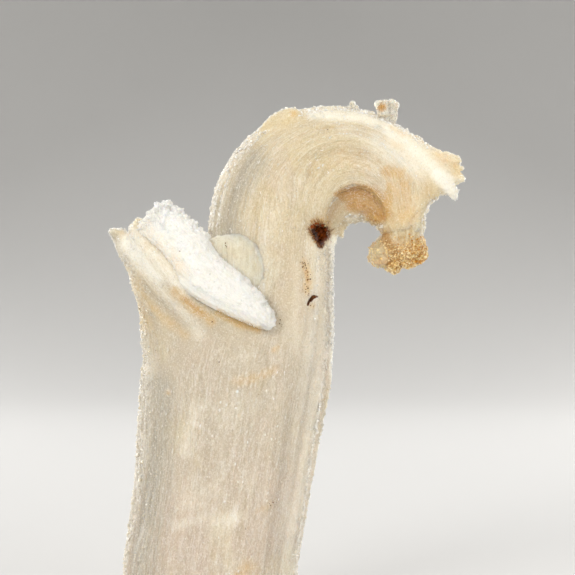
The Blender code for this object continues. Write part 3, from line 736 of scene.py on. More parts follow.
class Finish:
    """A material whose nodes are added one by one. Places are in millimetres."""

    def __init__(self, name):
        self.material = bpy.data.materials.new(name)
        self.material.use_nodes = True
        self.shader = self.material.node_tree.nodes["Principled BSDF"]
        self.place = self.scaled(self.node("TexCoord").outputs["Object"], (1 / MM, 1 / MM, 1 / MM))
        self.fibre, self.stain, self.shade, self.calm, self.tint = (
            self.node("Attribute", attribute_name=key).outputs["Vector"]
            for key in ("fibre", "stain", "shade", "calm", "tint")
        )

    def node(self, kind, inputs=(), **settings):
        """A new node. Each input is its name or number and a value or another node's output."""
        made = self.material.node_tree.nodes.new("ShaderNode" + kind)
        for key, value in settings.items():
            setattr(made, key, value)
        for key, value in inputs:
            self.put(made.inputs[key], value)
        return made

    def put(self, socket, value):
        if hasattr(value, "is_output"):
            self.material.node_tree.links.new(value, socket)
        else:
            socket.default_value = value

    def set(self, **values):
        for key, value in values.items():
            self.put(self.shader.inputs[key.replace("_", " ")], value)

    def scaled(self, place, scales):
        return self.node("VectorMath", ((0, place), (1, scales)), operation="MULTIPLY").outputs["Vector"]

    def math(self, operation, a, b):
        return self.node("Math", ((0, a), (1, b)), operation=operation).outputs[0]

    def times(self, a, b):
        return self.math("MULTIPLY", a, b)

    def parts(self, vector):
        return self.node("SeparateXYZ", ((0, vector),)).outputs

    def noise(self, place, scales, detail=2, rough=0.5, distortion=0):
        return self.node("TexNoise", (
            ("Vector", self.scaled(place, scales)), ("Scale", 1), ("Detail", detail), ("Roughness", rough),
            ("Distortion", distortion),
        ), noise_dimensions="3D").outputs["Fac"]

    def cells(self, place, per_mm):
        """How far each place is from the middle of its cell, and a random number for each cell."""
        outputs = self.node("TexVoronoi", (("Vector", place), ("Scale", per_mm))).outputs
        return outputs["Distance"], self.parts(outputs["Color"])[0]

    def between(self, value, low, high, to_low=0, to_high=1):
        return self.node("MapRange", (
            ("Value", value), ("From Min", low), ("From Max", high), ("To Min", to_low), ("To Max", to_high),
        ), interpolation_type="SMOOTHSTEP").outputs["Result"]

    def mix(self, share, a, b):
        return self.node("Mix", (("Factor", share), (6, a), (7, b)), data_type="RGBA").outputs[2]

    def broken(self, mark, rough, low, high, reach):
        """A mark with an edge that a noise breaks up."""
        shift = self.times(self.math("SUBTRACT", rough, 0.5), reach)
        return self.between(self.math("ADD", mark, shift), low, high)

    def over(self, colour, *layers):
        """Lays colours over it: each where a value is past one limit, and as strong as this at the other."""
        for value, none, full, strength, top in layers:
            colour = self.mix(self.between(value, none, full, 0, strength), colour, top)
        return colour

    def stained(self, colour, *layers):
        """Lays marks over it, each with the noise that breaks its edge, its limits and its colour."""
        for mark, rough, low, high, reach, top in layers:
            colour = self.mix(self.broken(mark, rough, low, high, reach), colour, top)
        return colour

    def bumps(self, *layers):
        """Bumps on top of each other. Their distances are in millimetres."""
        below = ()
        for height, distance in layers:
            inputs = (("Strength", 1), ("Distance", distance * MM), ("Height", height), *below)
            normal = self.node("Bump", inputs).outputs["Normal"]
            below = (("Normal", normal),)
        return normal

    def milky(self, weight, reach=1, white=None):
        """Light spreads under the surface, and less far where it is white."""
        self.shader.subsurface_method = "RANDOM_WALK"
        scale = MILKY_SCALE if white is None else self.between(white, 0.1, 0.8, MILKY_SCALE, MILKY_SCALE / 4)
        radius = tuple(reach * r * MM / MILKY_SCALE for r in MILKY)
        self.set(Subsurface_Weight=weight, Subsurface_Radius=radius, Subsurface_Scale=scale)


def rgb(red, green, blue):
    """An sRGB colour, from 0 to 255, as the linear colour that a shader takes."""
    linear = (((v / 255 + 0.055) / 1.055) ** 2.4 if v > 10 else v / 3294.6 for v in (red, green, blue))
    return (*linear, 1)


STEM_COLOUR = rgb(204, 191, 169)
HORN_COLOUR = rgb(222, 204, 164)
PALE_STREAK = rgb(241, 234, 216)
DARK_STREAK = rgb(178, 162, 132)
# The grey of the painted shade on the left sides.
PAINTED_SHADE_GREY = rgb(182, 174, 157)
YELLOW_TINGE = rgb(214, 198, 152)
PINK_TINGE = rgb(214, 194, 178)
WHITE = rgb(255, 252, 245)
PALEST = rgb(255, 249, 233)  # of the white marks
MIDDLE_GREY = (0.5, 0.5, 0.5, 1)  # the middle value of a noise
CREAM = rgb(247, 236, 212)
OCHRE = rgb(222, 186, 122)
TAN = rgb(203, 152, 72)
DIRT = rgb(92, 44, 16)
MILKY = (3, 2.6, 2.1)  # how far light spreads under the surface, in millimetres
MILKY_SCALE = 10 * MM
GYPSUM_IOR = 1.52


def fibrous_finish(name, low, high, white_share=0, subsurface=0.8, reach=1.5, dirty=0.3):
    """Gypsum fibres: soft streaks along them, cloudy places, bright flecks that are painted glints, marks that
    are partly painted shade and light, a paler rim that is partly painted glow, and a fine bump.
    """
    f = Finish(name)
    ochre, dirty_mark, white = f.parts(f.stain)
    tan, painted_shade, rim = f.parts(f.shade)
    calm = f.parts(f.calm)[0]  # where two sets of fibres meet
    height = f.parts(f.place)[2]
    bands, streaks, hairs, lines = (
        f.mix(calm, f.noise(f.fibre, *values), MIDDLE_GREY) for values in (
            ((0.6, 0.6, 0.03), 3, 0.55), ((1.8, 1.8, 0.12), 3, 0.6), ((3.4, 3.4, 0.9), 3, 0.7),
            ((4.4, 4.4, 0.2), 2, 0.5),
        )
    )
    clouds = f.noise(f.place, (0.12, 0.12, 0.08), 3, 0.55)
    tinges = f.noise(f.place, (0.1, 0.1, 0.05), 3, 0.6, 0.6)
    patchy = f.noise(f.place, (0.5, 0.5, 0.4), 4, 0.6)
    grain = f.noise(f.place, (4.2, 4.2, 3), 2, 0.7)

    colour = f.mix(f.between(height, 46, 88), low, high)
    colour = f.over(
        colour, (height, 44, 8, 0.6, PINK_TINGE), (tinges, 0.52, 0.72, 0.45, YELLOW_TINGE),
        (tinges, 0.48, 0.28, 0.4, PINK_TINGE),
    )
    strength = f.between(height, 56, 84, 0.5, 1)
    for value, edges in ((bands, ((0.24, 0.2), (0.76, 0.34))), (streaks, ((0.24, 0.2), (0.76, 0.36)))):
        for (full, most), streak in zip(edges, (DARK_STREAK, PALE_STREAK)):
            colour = f.mix(f.times(f.between(value, 0.5, full, 0, most), strength), colour, streak)
    colour = f.over(colour, (clouds, 0.5, 0.75, 0.4, PALE_STREAK))
    # Painted shade greys the left sides here. The white marks, partly painted light, go over them.
    colour = f.stained(
        colour, (painted_shade, streaks, 0.1, 1.1, 0.8, PAINTED_SHADE_GREY), (white, streaks, 0.05, 0.95, 0.4, PALEST)
    )
    if white_share:
        colour = f.mix(white_share, colour, WHITE)
    colour = f.stained(colour, (ochre, patchy, 0.1, 1.1, 0.6, OCHRE), (tan, streaks, 0.1, 0.9, 0.35, TAN))
    clean = f.between(white, 0.1, 0.8, 1, 0.75)
    for value, low_end, high_end, light, dark in (
        (lines, 0.34, 0.66, 0.2, 0.45 * dirty), (hairs, 0.28, 0.72, 0.36, dirty),
        (grain, 0.28, 0.72, 0.42, dirty),
    ):
        colour = f.over(colour, (value, 0.5, high_end, light, WHITE))
        colour = f.mix(f.times(f.between(value, 0.5, low_end, 0, dark), clean), colour, DARK_STREAK)
    # Paler where the skin turns away from the front: sugary fibre ends, and partly a painted rim glow.
    colour = f.over(colour, (rim, 0.35, 1, 0.5, WHITE))
    # Painted glints: sparse white flecks along the fibres.
    distance, random = f.cells(f.scaled(f.fibre, (1, 1, 0.45)), 1.5)
    chosen = f.times(f.between(random, 0.8, 0.85), f.between(calm, 0.2, 0.6, 1, 0))
    glint_fleck = f.times(f.between(distance, 0.24, 0.12), chosen)
    colour = f.mix(f.times(glint_fleck, 0.85), colour, WHITE)
    dirt = f.broken(dirty_mark, grain, 0.35, 0.65, 0.5)
    colour = f.mix(dirt, colour, DIRT)

    sparkle = f.between(f.cells(f.place, 2.6)[1], 0.9, 0.94)
    rough = f.math("SUBTRACT", f.between(hairs, 0.3, 0.7, 0.6, 0.42), f.times(sparkle, 0.26))
    f.set(
        Base_Color=colour, Roughness=rough, IOR=GYPSUM_IOR,
        Specular_IOR_Level=f.between(dirt, 0, 1, 0.5, 0.12),
        Normal=f.bumps((streaks, 0.1), (lines, 0.06), (hairs, 0.14), (grain, 0.18), (glint_fleck, 0.1)),
    )
    weight = f.times(f.between(dirt, 0, 1, subsurface, 0), f.between(white, 0.2, 0.9, 1, 0.45))
    f.milky(weight, reach, white)
    return f.material


def knob_finish():
    """The crust of the knob: cream and golden grains with painted highlights, brown between them that is
    partly painted shade, running up into the plain neck, with a painted bright outline.
    """
    f = Finish("granular_crust")
    golden_mark, brown, rim = f.parts(f.shade)
    grains, tint = f.cells(f.place, 1.9)
    patchy = f.noise(f.place, (0.35, 0.35, 0.35), 4, 0.6)
    fine = f.noise(f.place, (3.6, 3.6, 3.6), 3, 0.7)
    streaks = f.noise(f.place, (2.4, 2.4, 0.5), 3, 0.6)
    colour = f.mix(f.between(patchy, 0.4, 0.6), rgb(224, 206, 164), rgb(224, 190, 148))
    colour = f.over(colour, (fine, 0.5, 0.3, 0.3, rgb(184, 148, 104)))
    # On the golden grains the cell edges between grains darken, partly as darker amber and partly as painted
    # shade between them. The pale spots are painted highlights.
    golden = f.over(
        f.mix(f.between(tint, 0.2, 0.8), rgb(214, 148, 54), rgb(252, 224, 142)),
        (grains, 0.3, 0.6, 0.7, rgb(180, 122, 50)), (fine, 0.5, 0.32, 0.75, rgb(170, 112, 44)),
        (fine, 0.52, 0.68, 0.6, rgb(252, 234, 180)),
    )
    colour = f.stained(colour, (golden_mark, patchy, 0.1, 0.9, 0.7, golden))
    height = f.math("ADD", f.parts(f.place)[2], f.times(f.math("SUBTRACT", patchy, 0.5), 5))
    neck = f.mix(f.between(streaks, 0.35, 0.68), rgb(214, 188, 142), rgb(238, 224, 190))
    colour = f.over(colour, (height, 73.4, 76.4, 1, neck))
    colour = f.stained(colour, (brown, fine, 0.15, 1.1, 1, rgb(188, 134, 58)))
    # A painted bright outline, partly paler grain, where the crust turns away from the front.
    colour = f.over(colour, (rim, 0.2, 0.7, 0.75, WHITE))
    f.set(
        Base_Color=colour, Roughness=f.between(fine, 0.3, 0.7, 0.5, 0.15), IOR=GYPSUM_IOR,
        Normal=f.bumps((grains, -0.3), (fine, 0.3)),
    )
    f.milky(0.3, 0.25)
    return f.material


def grain_finish(name, colours, roughness, subsurface, shine=0.5, clear=0):
    """Loose-looking little crystals: each has its own tint."""
    f = Finish(name)
    pale, stained, _ = f.parts(f.tint)
    colour = f.mix(pale, rgb(*colours[0]), rgb(*colours[1]))
    colour = f.stained(colour, (stained, f.noise(f.place, (2, 2, 2)), 0.3, 0.8, 0.4, rgb(*colours[2])))
    f.set(
        Base_Color=colour, Roughness=f.between(f.noise(f.place, (3, 3, 3)), 0.3, 0.7, *roughness),
        Normal=f.bumps((f.noise(f.place, (8, 8, 8)), 0.03)), IOR=GYPSUM_IOR, Specular_IOR_Level=shine,
        Transmission_Weight=clear,
    )
    if subsurface:
        f.milky(subsurface, 0.4)
    return f.material


def clear_plate_finish():
    """Thin, translucent gypsum: hazy, a little paler than the fibres behind it, with a paler rim that is
    partly a painted edge highlight.
    """
    f = Finish("clear_plate")
    fine = f.noise(f.fibre, (2.6, 2.6, 0.3), 3, 0.6)
    grain = f.noise(f.place, (4.2, 4.2, 3), 2, 0.7)
    clouds = f.noise(f.place, (0.35, 0.35, 0.35), 3, 0.6)
    colour = f.over(
        f.mix(f.between(clouds, 0.35, 0.65), rgb(230, 220, 194), rgb(241, 233, 210)),
        (fine, 0.5, 0.72, 0.6, rgb(250, 245, 230)), (fine, 0.5, 0.28, 0.3, DARK_STREAK),
        (grain, 0.5, 0.26, 0.25, DARK_STREAK), (grain, 0.5, 0.74, 0.4, WHITE),
    )
    # The paler rim is partly a painted edge highlight.
    rim = f.broken(f.parts(f.shade)[2], fine, 0.05, 1, 0.7)
    colour = f.mix(f.times(rim, 0.6), colour, PALE_STREAK)
    colour = f.stained(colour, (f.parts(f.stain)[1], fine, 0.35, 0.65, 0.4, DIRT))
    f.set(
        Base_Color=colour, Roughness=f.between(clouds, 0.3, 0.7, 0.5, 0.32), IOR=GYPSUM_IOR,
        Normal=f.bumps((fine, 0.14), (grain, 0.14)), Transmission_Weight=0.15,
    )
    f.milky(0.9)
    return f.material


# ---- Pieces

# Lines seen from the front, each with its reach and how strong its effect is
CREASES = [  # where one form runs into another
    ([(-15, 50), (-11, 46.5), (-7.4, 49), (-4.4, 53.5), (-0.4, 56.2), (4, 56)], 3.2, 1),
    ([(-3.4, 60), (0.6, 56), (6, 56.6)], 3.2, 1), ([(-8.6, 56), (-5, 53.6), (-1, 53.4)], 2.6, 1),
    ([(-17.6, 72), (-14.4, 67.6), (-10.8, 64), (-7, 60.4), (-3, 56.4)], 3, 1),
    ([(-14.6, 74.4), (-11, 70.6), (-7.6, 67.2), (-4.4, 64), (-0.6, 60)], 2.6, 1),
    ([(39, 95.6), (42, 93.4), (44.8, 91), (46.4, 88.2), (45.6, 85.6), (42.4, 84)], 2.2, 1),
    ([(36.6, 95), (40.4, 91.6), (43, 88.4), (43.6, 85.4)], 2, 1), ([(17.4, 75), (18.6, 72)], 1.6, 1),
    ([(15.2, 73), (14.9, 58), (15.4, 50), (16.8, 46)], 2, 1),
]
BROAD_FLUTES = [  # where the flutes of the solid are smoothed away, and only fine fibres show
    ([(19.6, 62), (18, 42), (15.6, 24), (13.6, 8), (13.2, 0)], 4, 0.2),
    ([(22.6, 74), (22.8, 60), (21.6, 50), (20.2, 38), (18.2, 24), (16.4, 10), (16, 0)], 1.8, 0.4),
    ([(23.4, 75.6), (23.6, 60), (22.8, 50)], 1.6, 0.8),
]
RAGGED = [  # edges that are broken rather than grown
    ([(47.4, 84.4), (44, 82.4), (42.8, 79), (42.2, 75.6)], 1.4, 0.5),
    ([(23.8, 75), (25.4, 78), (28.4, 79.6), (32, 79.2), (34, 77)], 1.3, 0.5),
    ([(-12.6, 79), (-17, 77.2), (-19.8, 76.4)], 1.5, 0.25), ([(40, 95), (46, 91.4), (49, 88)], 1.2, 0.5),
]
BLADE_RAGGED = [
    ([(-15.6, 77.4), (-14, 80.6), (-9, 84), (-7.2, 82)], 2, 0.8),
    ([(-7.2, 82), (-3, 78.8), (-0.4, 75.6)], 1.3, 0.8),
    ([(2, 70.4), (8, 66.6), (12.4, 60.6), (12.6, 58)], 1.2, 0.4),
]
CREASE_ROUNDS = 200  # of smoothing
SEAM_SPREAD = 6  # edges from a seam to where it ends
SEAM_FADE = 0.78
BLADE_REACH = 5.2  # half the white blade's width, as its fibre coordinates have it
BLADE_MIDDLE = 40  # where they have its middle


def edgeways(obj):
    """How far the skin turns away from the front, where fibre ends and edges are whiter: partly their sugary
    grain, partly a painted rim glow.
    """
    return (1 - np.abs(read_points(obj, "normal")[:, 1])) ** 3


def seams(obj, fibres):
    """High where the fibre coordinates of one form meet those of another, so that no line shows there."""
    ends = np.empty(2 * len(obj.data.edges), int)
    obj.data.edges.foreach_get("vertices", ends)
    a, b = ends.reshape(-1, 2).T
    points = read_points(obj)
    fibre_steps, steps = (np.linalg.norm(values[a] - values[b], axis=1) for values in (fibres, points))
    apart = fibre_steps > 1 + 2 * steps
    found = np.zeros(len(points))
    found[a[apart]] = found[b[apart]] = 1.0
    for _ in range(SEAM_SPREAD):
        wider = found.copy()
        np.maximum.at(wider, a, SEAM_FADE * found[b])
        np.maximum.at(wider, b, SEAM_FADE * found[a])
        found = wider
    return found


def with_stains(obj, forms, **extra):
    """Stores what the finishes read: the fibre coordinates, where they don't fit together, and the marks."""
    points = read_points(obj)
    fibres = fibre_coordinates(points, forms)
    calm = seams(obj, fibres)
    marks = {**mark_strengths(points), "rim": np.zeros(len(points))}
    for kind, values in extra.items():
        marks[kind] = np.maximum(marks[kind], values)
    set_vector(obj, "fibre", *fibres.T)
    set_vector(obj, "calm", calm, calm, calm)
    set_vector(obj, "stain", marks["ochre"], marks["dirt"], marks["white"])
    set_vector(obj, "shade", marks["tan"], marks["painted_shade"], marks["rim"])


def crease_weights(points, creases):
    """High along the lines where one form runs into another on the front."""
    front = np.clip((2.0 - points[:, 1]) / 4, 0, 1)
    return front * np.max([weight * near(points, line, reach, 4) for line, reach, weight in creases], 0)


def gypsum_body():
    """The stem and the curl, the stub's leaf and core, and what has grown on them."""
    forms = Forms()
    for name in ("seam_rib", "rim_mound", "throat_tooth"):
        forms.add_rings(strand_rings(name))
    forms.add_rings(main_rings())
    forms.add_rings(short_bundle_rings(LEAF_RIBS, 80, 90, 40))
    forms.add_rings(short_bundle_rings(CORE_RIBS, 64, 80, 90))
    forms.add_rings(plate_rings(LIP_BLOCK, LIP_LEAN))
    forms.add_rings(plate_rings(finely(LIP_SHEET, 0.3, 0.25), LIP_LEAN))
    for name in ("middle_blade", "lower_blade", "under_blade", "blade_web", "blade_flank", "lip_prong"):
        forms.add_rings(strand_rings(name))
    obj = one_skin("gypsum_body", forms, BODY_VOXEL)
    blend_creases(obj, crease_weights(read_points(obj), CREASES + BROAD_FLUTES), CREASE_ROUNDS)
    cut_pit(obj, PIT)
    cut_pit(obj, CHIP)
    points = read_points(obj)
    fibres = fibre_coordinates(points, forms)
    heights = fibre_heights(fibres, FIBRE_LAYERS) * (1 - 0.7 * crease_weights(points, CREASES))
    heights *= 1 - seams(obj, fibres)
    heights += grain_heights(points, 1.5, 0.2) * (1 + edgeways(obj)) + ragged_heights(points, RAGGED)
    swell(obj, heights, floor=0)
    count = sum(len(face.vertices) - 2 for face in obj.data.polygons)
    modify(obj, "DECIMATE", ratio=min(1, BODY_TRIANGLES / count))
    # The rim whitening where the skin turns away from the front is partly sugary fibre ends and partly a
    # painted rim glow.
    with_stains(obj, forms, rim=edgeways(obj))
    return obj


def white_blade():
    """The thick white blade that lies across the stub."""
    forms = Forms()
    forms.add_rings(strand_rings("upper_blade"))
    obj = one_skin("white_blade", forms, BLADE_VOXEL, 16)
    points = read_points(obj)
    fibres = fibre_coordinates(points, forms)
    head = np.clip((6.0 - fibres[:, 2]) / 6, 0, 1)
    heights = fibre_heights(fibres, BLADE_LAYERS, 5) - 0.15 * head
    heights += grain_heights(points, 0.9, 0.3) * head
    heights += grain_heights(points, 1.9, 0.3, 6) * (0.6 + 0.8 * head)
    swell(obj, heights + ragged_heights(points, BLADE_RAGGED))
    points = read_points(obj)
    fibres = fibre_coordinates(points, forms)
    low_flank = np.clip((BLADE_MIDDLE - fibres[:, 0]) / BLADE_REACH - 0.35, 0, 1) * 1.5
    behind = np.clip((points[:, 1] + 6.5) / 3, 0, 1)
    with_stains(obj, forms, ochre=np.clip(low_flank * 0.5, 0, 0.45), tan=behind * 0.2)
    return obj


def front_plate(tree):
    """The thin plate. Its right edge lies close on the fibres behind it."""
    forms = Forms()
    forms.add_rings(plate_rings(finely(FRONT_PLATE, 0.35, 0.4)))
    obj = one_skin("front_plate", forms, 0.22, 10)
    points = read_points(obj)
    swell(obj, grain_heights(points, 0.7, 0.16) + fibre_heights(points, PLATE_LAYERS))
    points = read_points(obj)
    points[:, 1] += PLATE_TILT * (points[:, 0] - 2)
    outline = finely(FRONT_PLATE, 0.35, 0).corners
    outline.append(outline[0])
    edge = near(points, outline, 1.8) * np.clip(points[:, 0] / 5, 0, 1)
    for number in np.flatnonzero(edge > 0.02):
        hit = front_hit(tree, points[number, 0], points[number, 2])
        if hit:
            points[number, 1] += edge[number] * max(0, hit.y - PLATE_STEP - points[number, 1])
    write_points(obj, points)
    # The outline is paler in the finish, partly as a painted edge highlight.
    with_stains(obj, forms, rim=near(points, outline, 0.7))
    return obj


def hook_end():
    """The torn sheets at the end of the curl."""
    forms = Forms()
    for shift_x, shift_z, front, back in LAMINA_SHEETS:
        sheet = Plate(front, back, 0.3, [(x + shift_x, z + shift_z) for x, z in LAMINA])
        forms.add_rings(plate_rings(finely(sheet, 0.3, 0.25), LIP_LEAN))
    obj = one_skin("hook_end", forms, 0.18, 4)
    points = read_points(obj)
    fibres = fibre_coordinates(points, forms)
    swell(obj, fibre_heights(fibres, SHEET_LAYERS, 2) + grain_heights(points, 1.7, 0.14))
    torn = near(read_points(obj), LAMINA[:TORN_CORNERS], 0.5)
    # The rim whitening where the sheets turn away from the front is partly their fibre ends and partly a
    # painted rim glow.
    with_stains(obj, forms, white=0.9 * torn, ochre=0.35, rim=edgeways(obj))
    return obj


def knob():
    """The lumps of the knob and the flare of the neck, with a crust of grains that fades out upwards."""
    forms = Forms()
    for lump in KNOB_LUMPS:
        forms.add_bmesh(lump_mesh(lump))
    flare = []
    for level in (along_curve(KNOB_FLARE, k / FLARE_STATIONS) for k in range(FLARE_STATIONS + 1)):
        middle, half = (level.left + level.right) / 2, (level.right - level.left) / 2
        ring = []
        for turn in (2 * math.pi * j / FLARE_AROUND for j in range(FLARE_AROUND)):
            across, deep = (powered(f(turn), FLARE_SQUARENESS) for f in (math.cos, math.sin))
            ring.append(Vector((middle + half * across, KNOB_MIDDLE_Y + level.half_deep * deep, level.z)))
        flare.append((ring, ring))
    forms.add_rings(flare)
    obj = one_skin("knob_crust", forms, KNOB_VOXEL, 14)
    points = read_points(obj)
    crusty = np.clip((76.6 - points[:, 2]) / 2.5, 0.15, 1)
    swell(obj, (grain_heights(points, 0.55, 0.8, 4) + grain_heights(points, 1.4, 0.45, 9)) * crusty)
    points = read_points(obj)
    golden = np.clip(0.1 + 0.16 * (points[:, 0] - 36), 0, 0.95) + 0.8 * near(points, [(36.2, 69.6)], 1.8)
    brown = 0.8 * near(points, [(34.2, 76.8), (34.4, 74.4), (36, 72.4)], 1.5)
    brown = np.maximum(brown, 0.7 * near(points, [(37.2, 71.6), (35, 70.2)], 0.9))
    # The third value whitens the edges that turn away from the front: partly paler grain, partly a painted
    # bright outline.
    set_vector(obj, "shade", golden, brown, edgeways(obj))
    return obj


def rim_crystals():
    """Small crystals that stand on the rim of the curl, rough and half clear."""
    forms = Forms()
    for crystal in RIM_CRYSTALS:
        forms.add_bmesh(crystal_mesh(crystal))
    obj = one_skin("rim_crystals", forms, 0.13, 5)
    points = read_points(obj)
    swell(obj, grain_heights(points, 1, 0.3, 2) + grain_heights(points, 2.2, 0.2, 7) + 0.05)
    points = read_points(obj)
    ochre = np.maximum(near(points, [(33.8, 101.1)], 1.25), near(points, [(6.8, 93)], 0.7))
    # Paler where they turn away from the front: partly their grain, partly a painted rim glow.
    pale = np.array([0.4 + 0.8 * noise.noise(Vector(point) * 0.9) for point in points]) + 0.6 * edgeways(obj)
    front = np.clip(-1.2 - points[:, 1], 0, 1)
    set_vector(obj, "tint", np.clip(pale, 0, 1), 0.8 * ochre * front, 0)
    return obj


# ---- Grains, each a little octahedron

OCTAHEDRON = np.array([(1, 0, 0), (-1, 0, 0), (0, 1, 0), (0, -1, 0), (0, 0, 1), (0, 0, -1)], float)
OCTAHEDRON_FACES = np.array([
    (0, 2, 4), (2, 1, 4), (1, 3, 4), (3, 0, 4), (2, 0, 5), (1, 2, 5), (3, 1, 5), (0, 3, 5),
])
SUGAR_GRAINS = 24000
SUGAR_FROM = 0.6  # no grain lies lower, so that the cut stays flat
BLADE_GRAINS = 4500
CRUST_GRAINS = 2000


def turned(draws, shapes):
    """The shapes, each turned at random by a quaternion."""
    q = draws.normal(size=(len(shapes), 1, 4))
    q /= np.linalg.norm(q, axis=2, keepdims=True)
    w, axis = q[..., :1], q[..., 1:]
    return shapes + 2 * np.cross(axis, np.cross(axis, shapes) + w * shapes)


def on_surface(obj, draws, count, density):
    """Random places on an object, and the normals there. The density depends on the middles and normals."""
    obj.data.calc_loop_triangles()
    triangles = np.empty(3 * len(obj.data.loop_triangles), int)
    obj.data.loop_triangles.foreach_get("vertices", triangles)
    corners = read_points(obj)[triangles.reshape(-1, 3)]
    cross = np.cross(corners[:, 1] - corners[:, 0], corners[:, 2] - corners[:, 0])
    area = np.linalg.norm(cross, axis=1)
    normals = cross / np.maximum(area, 1e-12)[:, None]
    weight = area * density(corners.mean(1), normals)
    chosen = draws.choice(len(weight), count, p=weight / weight.sum())
    u, v = draws.uniform(size=(2, count))
    over = u + v > 1
    u[over], v[over] = 1 - u[over], 1 - v[over]
    a, b, c = corners[chosen].transpose(1, 0, 2)
    return a + (b - a) * u[:, None] + (c - a) * v[:, None], normals[chosen]


def grain_mesh(name, draws, places, radii, pale, stained):
    """One little octahedral crystal at each place, turned at random. Each has its own tint."""
    count = len(places)
    shapes = OCTAHEDRON[None] * draws.uniform(0.65, 1.35, size=(count, 1, 3)) * radii[:, None, None]
    points = turned(draws, shapes) + places[:, None]
    faces = OCTAHEDRON_FACES[None] + 6 * np.arange(count)[:, None, None]
    obj = mesh_object(name, points.reshape(-1, 3).tolist(), faces.reshape(-1, 3).tolist())
    set_vector(obj, "tint", *(np.repeat(np.broadcast_to(tint, count), 6) for tint in (pale, stained)), 0)
    return obj


def sugar_grains(body, blade):
    """Sugary grains, most of them where the bundle turns away from the front, and the white blade's."""
    draws = np.random.RandomState(11)

    def on_body(middles, normals):
        patches = np.clip([noise.noise(Vector(m * 0.22)) for m in middles], 0, 1)
        edge = (1 - np.abs(normals[:, 1])) ** 1.5
        right_edge = near(middles, [(23.6, 72), (24, 54)], 1)
        strand = near(middles, [(-17, 74), (-3, 58)], 2.4)
        lip = near(middles, [(44, 92), (49, 88)], 2.5)
        wanted = 0.06 + 1.5 * edge + 0.3 * patches + 3.5 * right_edge + 0.5 * strand
        return wanted * (1 - 0.8 * lip) * (middles[:, 2] > SUGAR_FROM)

    def on_head(middles, normals):
        head = near(middles, [(-15.4, 77.6), (-8.8, 83)], 3.5)
        return 0.3 + 1.6 * head + 0.5 * (1 - np.abs(normals[:, 1]))

    places, normals = on_surface(body, draws, SUGAR_GRAINS, on_body)
    marks = mark_strengths(places)
    edge = (1 - np.abs(normals[:, 1])) ** 2
    spread = np.clip(draws.normal(0, 0.35, SUGAR_GRAINS), -0.9, 0.7)
    radii = 0.11 * np.exp(spread) * (1 + 1.2 * edge) * (1 - 0.9 * marks["dirt"])
    pale = 0.5 * draws.uniform(size=SUGAR_GRAINS) + 0.6 * marks["white"] + 0.25 * (places[:, 2] > 75)
    grains = grain_mesh("sugar_grains", draws, places, radii, pale, 0.9 * (marks["ochre"] + marks["tan"]))

    places, _ = on_surface(blade, draws, BLADE_GRAINS, on_head)
    pale = draws.uniform(0.7, 1, BLADE_GRAINS)
    return grains, grain_mesh("blade_grains", draws, places, draws.uniform(0.08, 0.2, BLADE_GRAINS), pale, 0)


def crust_crystals(crust):
    """The bigger grains of the knob."""
    draws = np.random.RandomState(23)

    def low_and_right(middles, _):
        low = np.clip((76.0 - middles[:, 2]) / 3, 0, 1)
        return low * np.clip(0.35 + 0.2 * (middles[:, 0] - 34), 0.2, 1.2)

    places, normals = on_surface(crust, draws, CRUST_GRAINS, low_and_right)
    ochre = np.clip(0.15 + 0.08 * (places[:, 0] - 35.6) + draws.normal(0, 0.45, CRUST_GRAINS), 0, 1)
    ochre *= np.abs(normals[:, 1]) ** 0.7
    pale = draws.uniform(size=CRUST_GRAINS) ** 0.6
    radii = 0.15 * np.exp(np.clip(draws.normal(0, 0.4, CRUST_GRAINS), -0.8, 0.8))
    return grain_mesh("crust_crystals", draws, places, radii, pale, ochre)


SPECKS = rows(
    Specks, (18.3, 70.4, 9, 0.4, 0.17), (18.6, 69.4, 5, 0.3, 0.13), (18.9, 68.4, 4, 0.25, 0.12),
    (19.1, 67.2, 8, 0.4, 0.15), (18.8, 65.2, 7, 0.4, 0.15), (19.05, 62.2, 3, 0.05, 0.12),
    (19.3, 62.75, 3, 0.06, 0.2), (19.7, 63.25, 4, 0.08, 0.28), (20.1, 63.65, 4, 0.1, 0.3),
    (20.6, 63.8, 3, 0.08, 0.17), (20, 62, 4, 0.3, 0.11), (12.2, 24, 5, 0.3, 0.13), (7, 19, 2, 0.1, 0.14),
    (0.4, 58.8, 3, 0.15, 0.13), (13.8, 58.4, 4, 0.25, 0.14), (3.2, 73.8, 3, 0.2, 0.14),
    (-5.4, 72.6, 2, 0.1, 0.12), (25.4, 84.3, 4, 0.35, 0.08), (23, 96.4, 2, 0.1, 0.11), (9, 44.4, 3, 0.4, 0.1),
    (-10.6, 52, 3, 0.5, 0.1), (2, 51.4, 2, 0.3, 0.1),
)
BEYOND = 40  # y past the part, in front and behind
PIT_BURRS = 130
PIT_GRAINS = 160
PIT_BAND = [(19.9, 76.2), (20.9, 74.4), (21.7, 73.6)]
BURR_FACES = ((0, 1, 5), (0, 5, 3), (0, 2, 1), (0, 3, 2), (4, 5, 1), (4, 3, 5), (4, 1, 2), (4, 2, 3))


def tree_of(obj):
    obj.data.calc_loop_triangles()
    return BVHTree.FromPolygons(
        [tuple(point) for point in read_points(obj)], [tuple(t.vertices) for t in obj.data.loop_triangles],
        all_triangles=True,
    )


def front_hit(tree, x, z):
    """The place that a viewer in front sees at this x and z."""
    return tree.ray_cast(Vector((x, -BEYOND, z)), Vector((0, 1, 0)))[0]


def in_pit(number, t, out=1):
    """A place on one side of the pit's outline, or so far out from its middle towards that."""
    (ax, az), (bx, bz) = (PIT.corners[k % len(PIT.corners)] for k in (number, number + 1))
    return PIT.centre[0] + out * (ax + (bx - ax) * t), PIT.centre[1] + out * (az + (bz - az) * t)


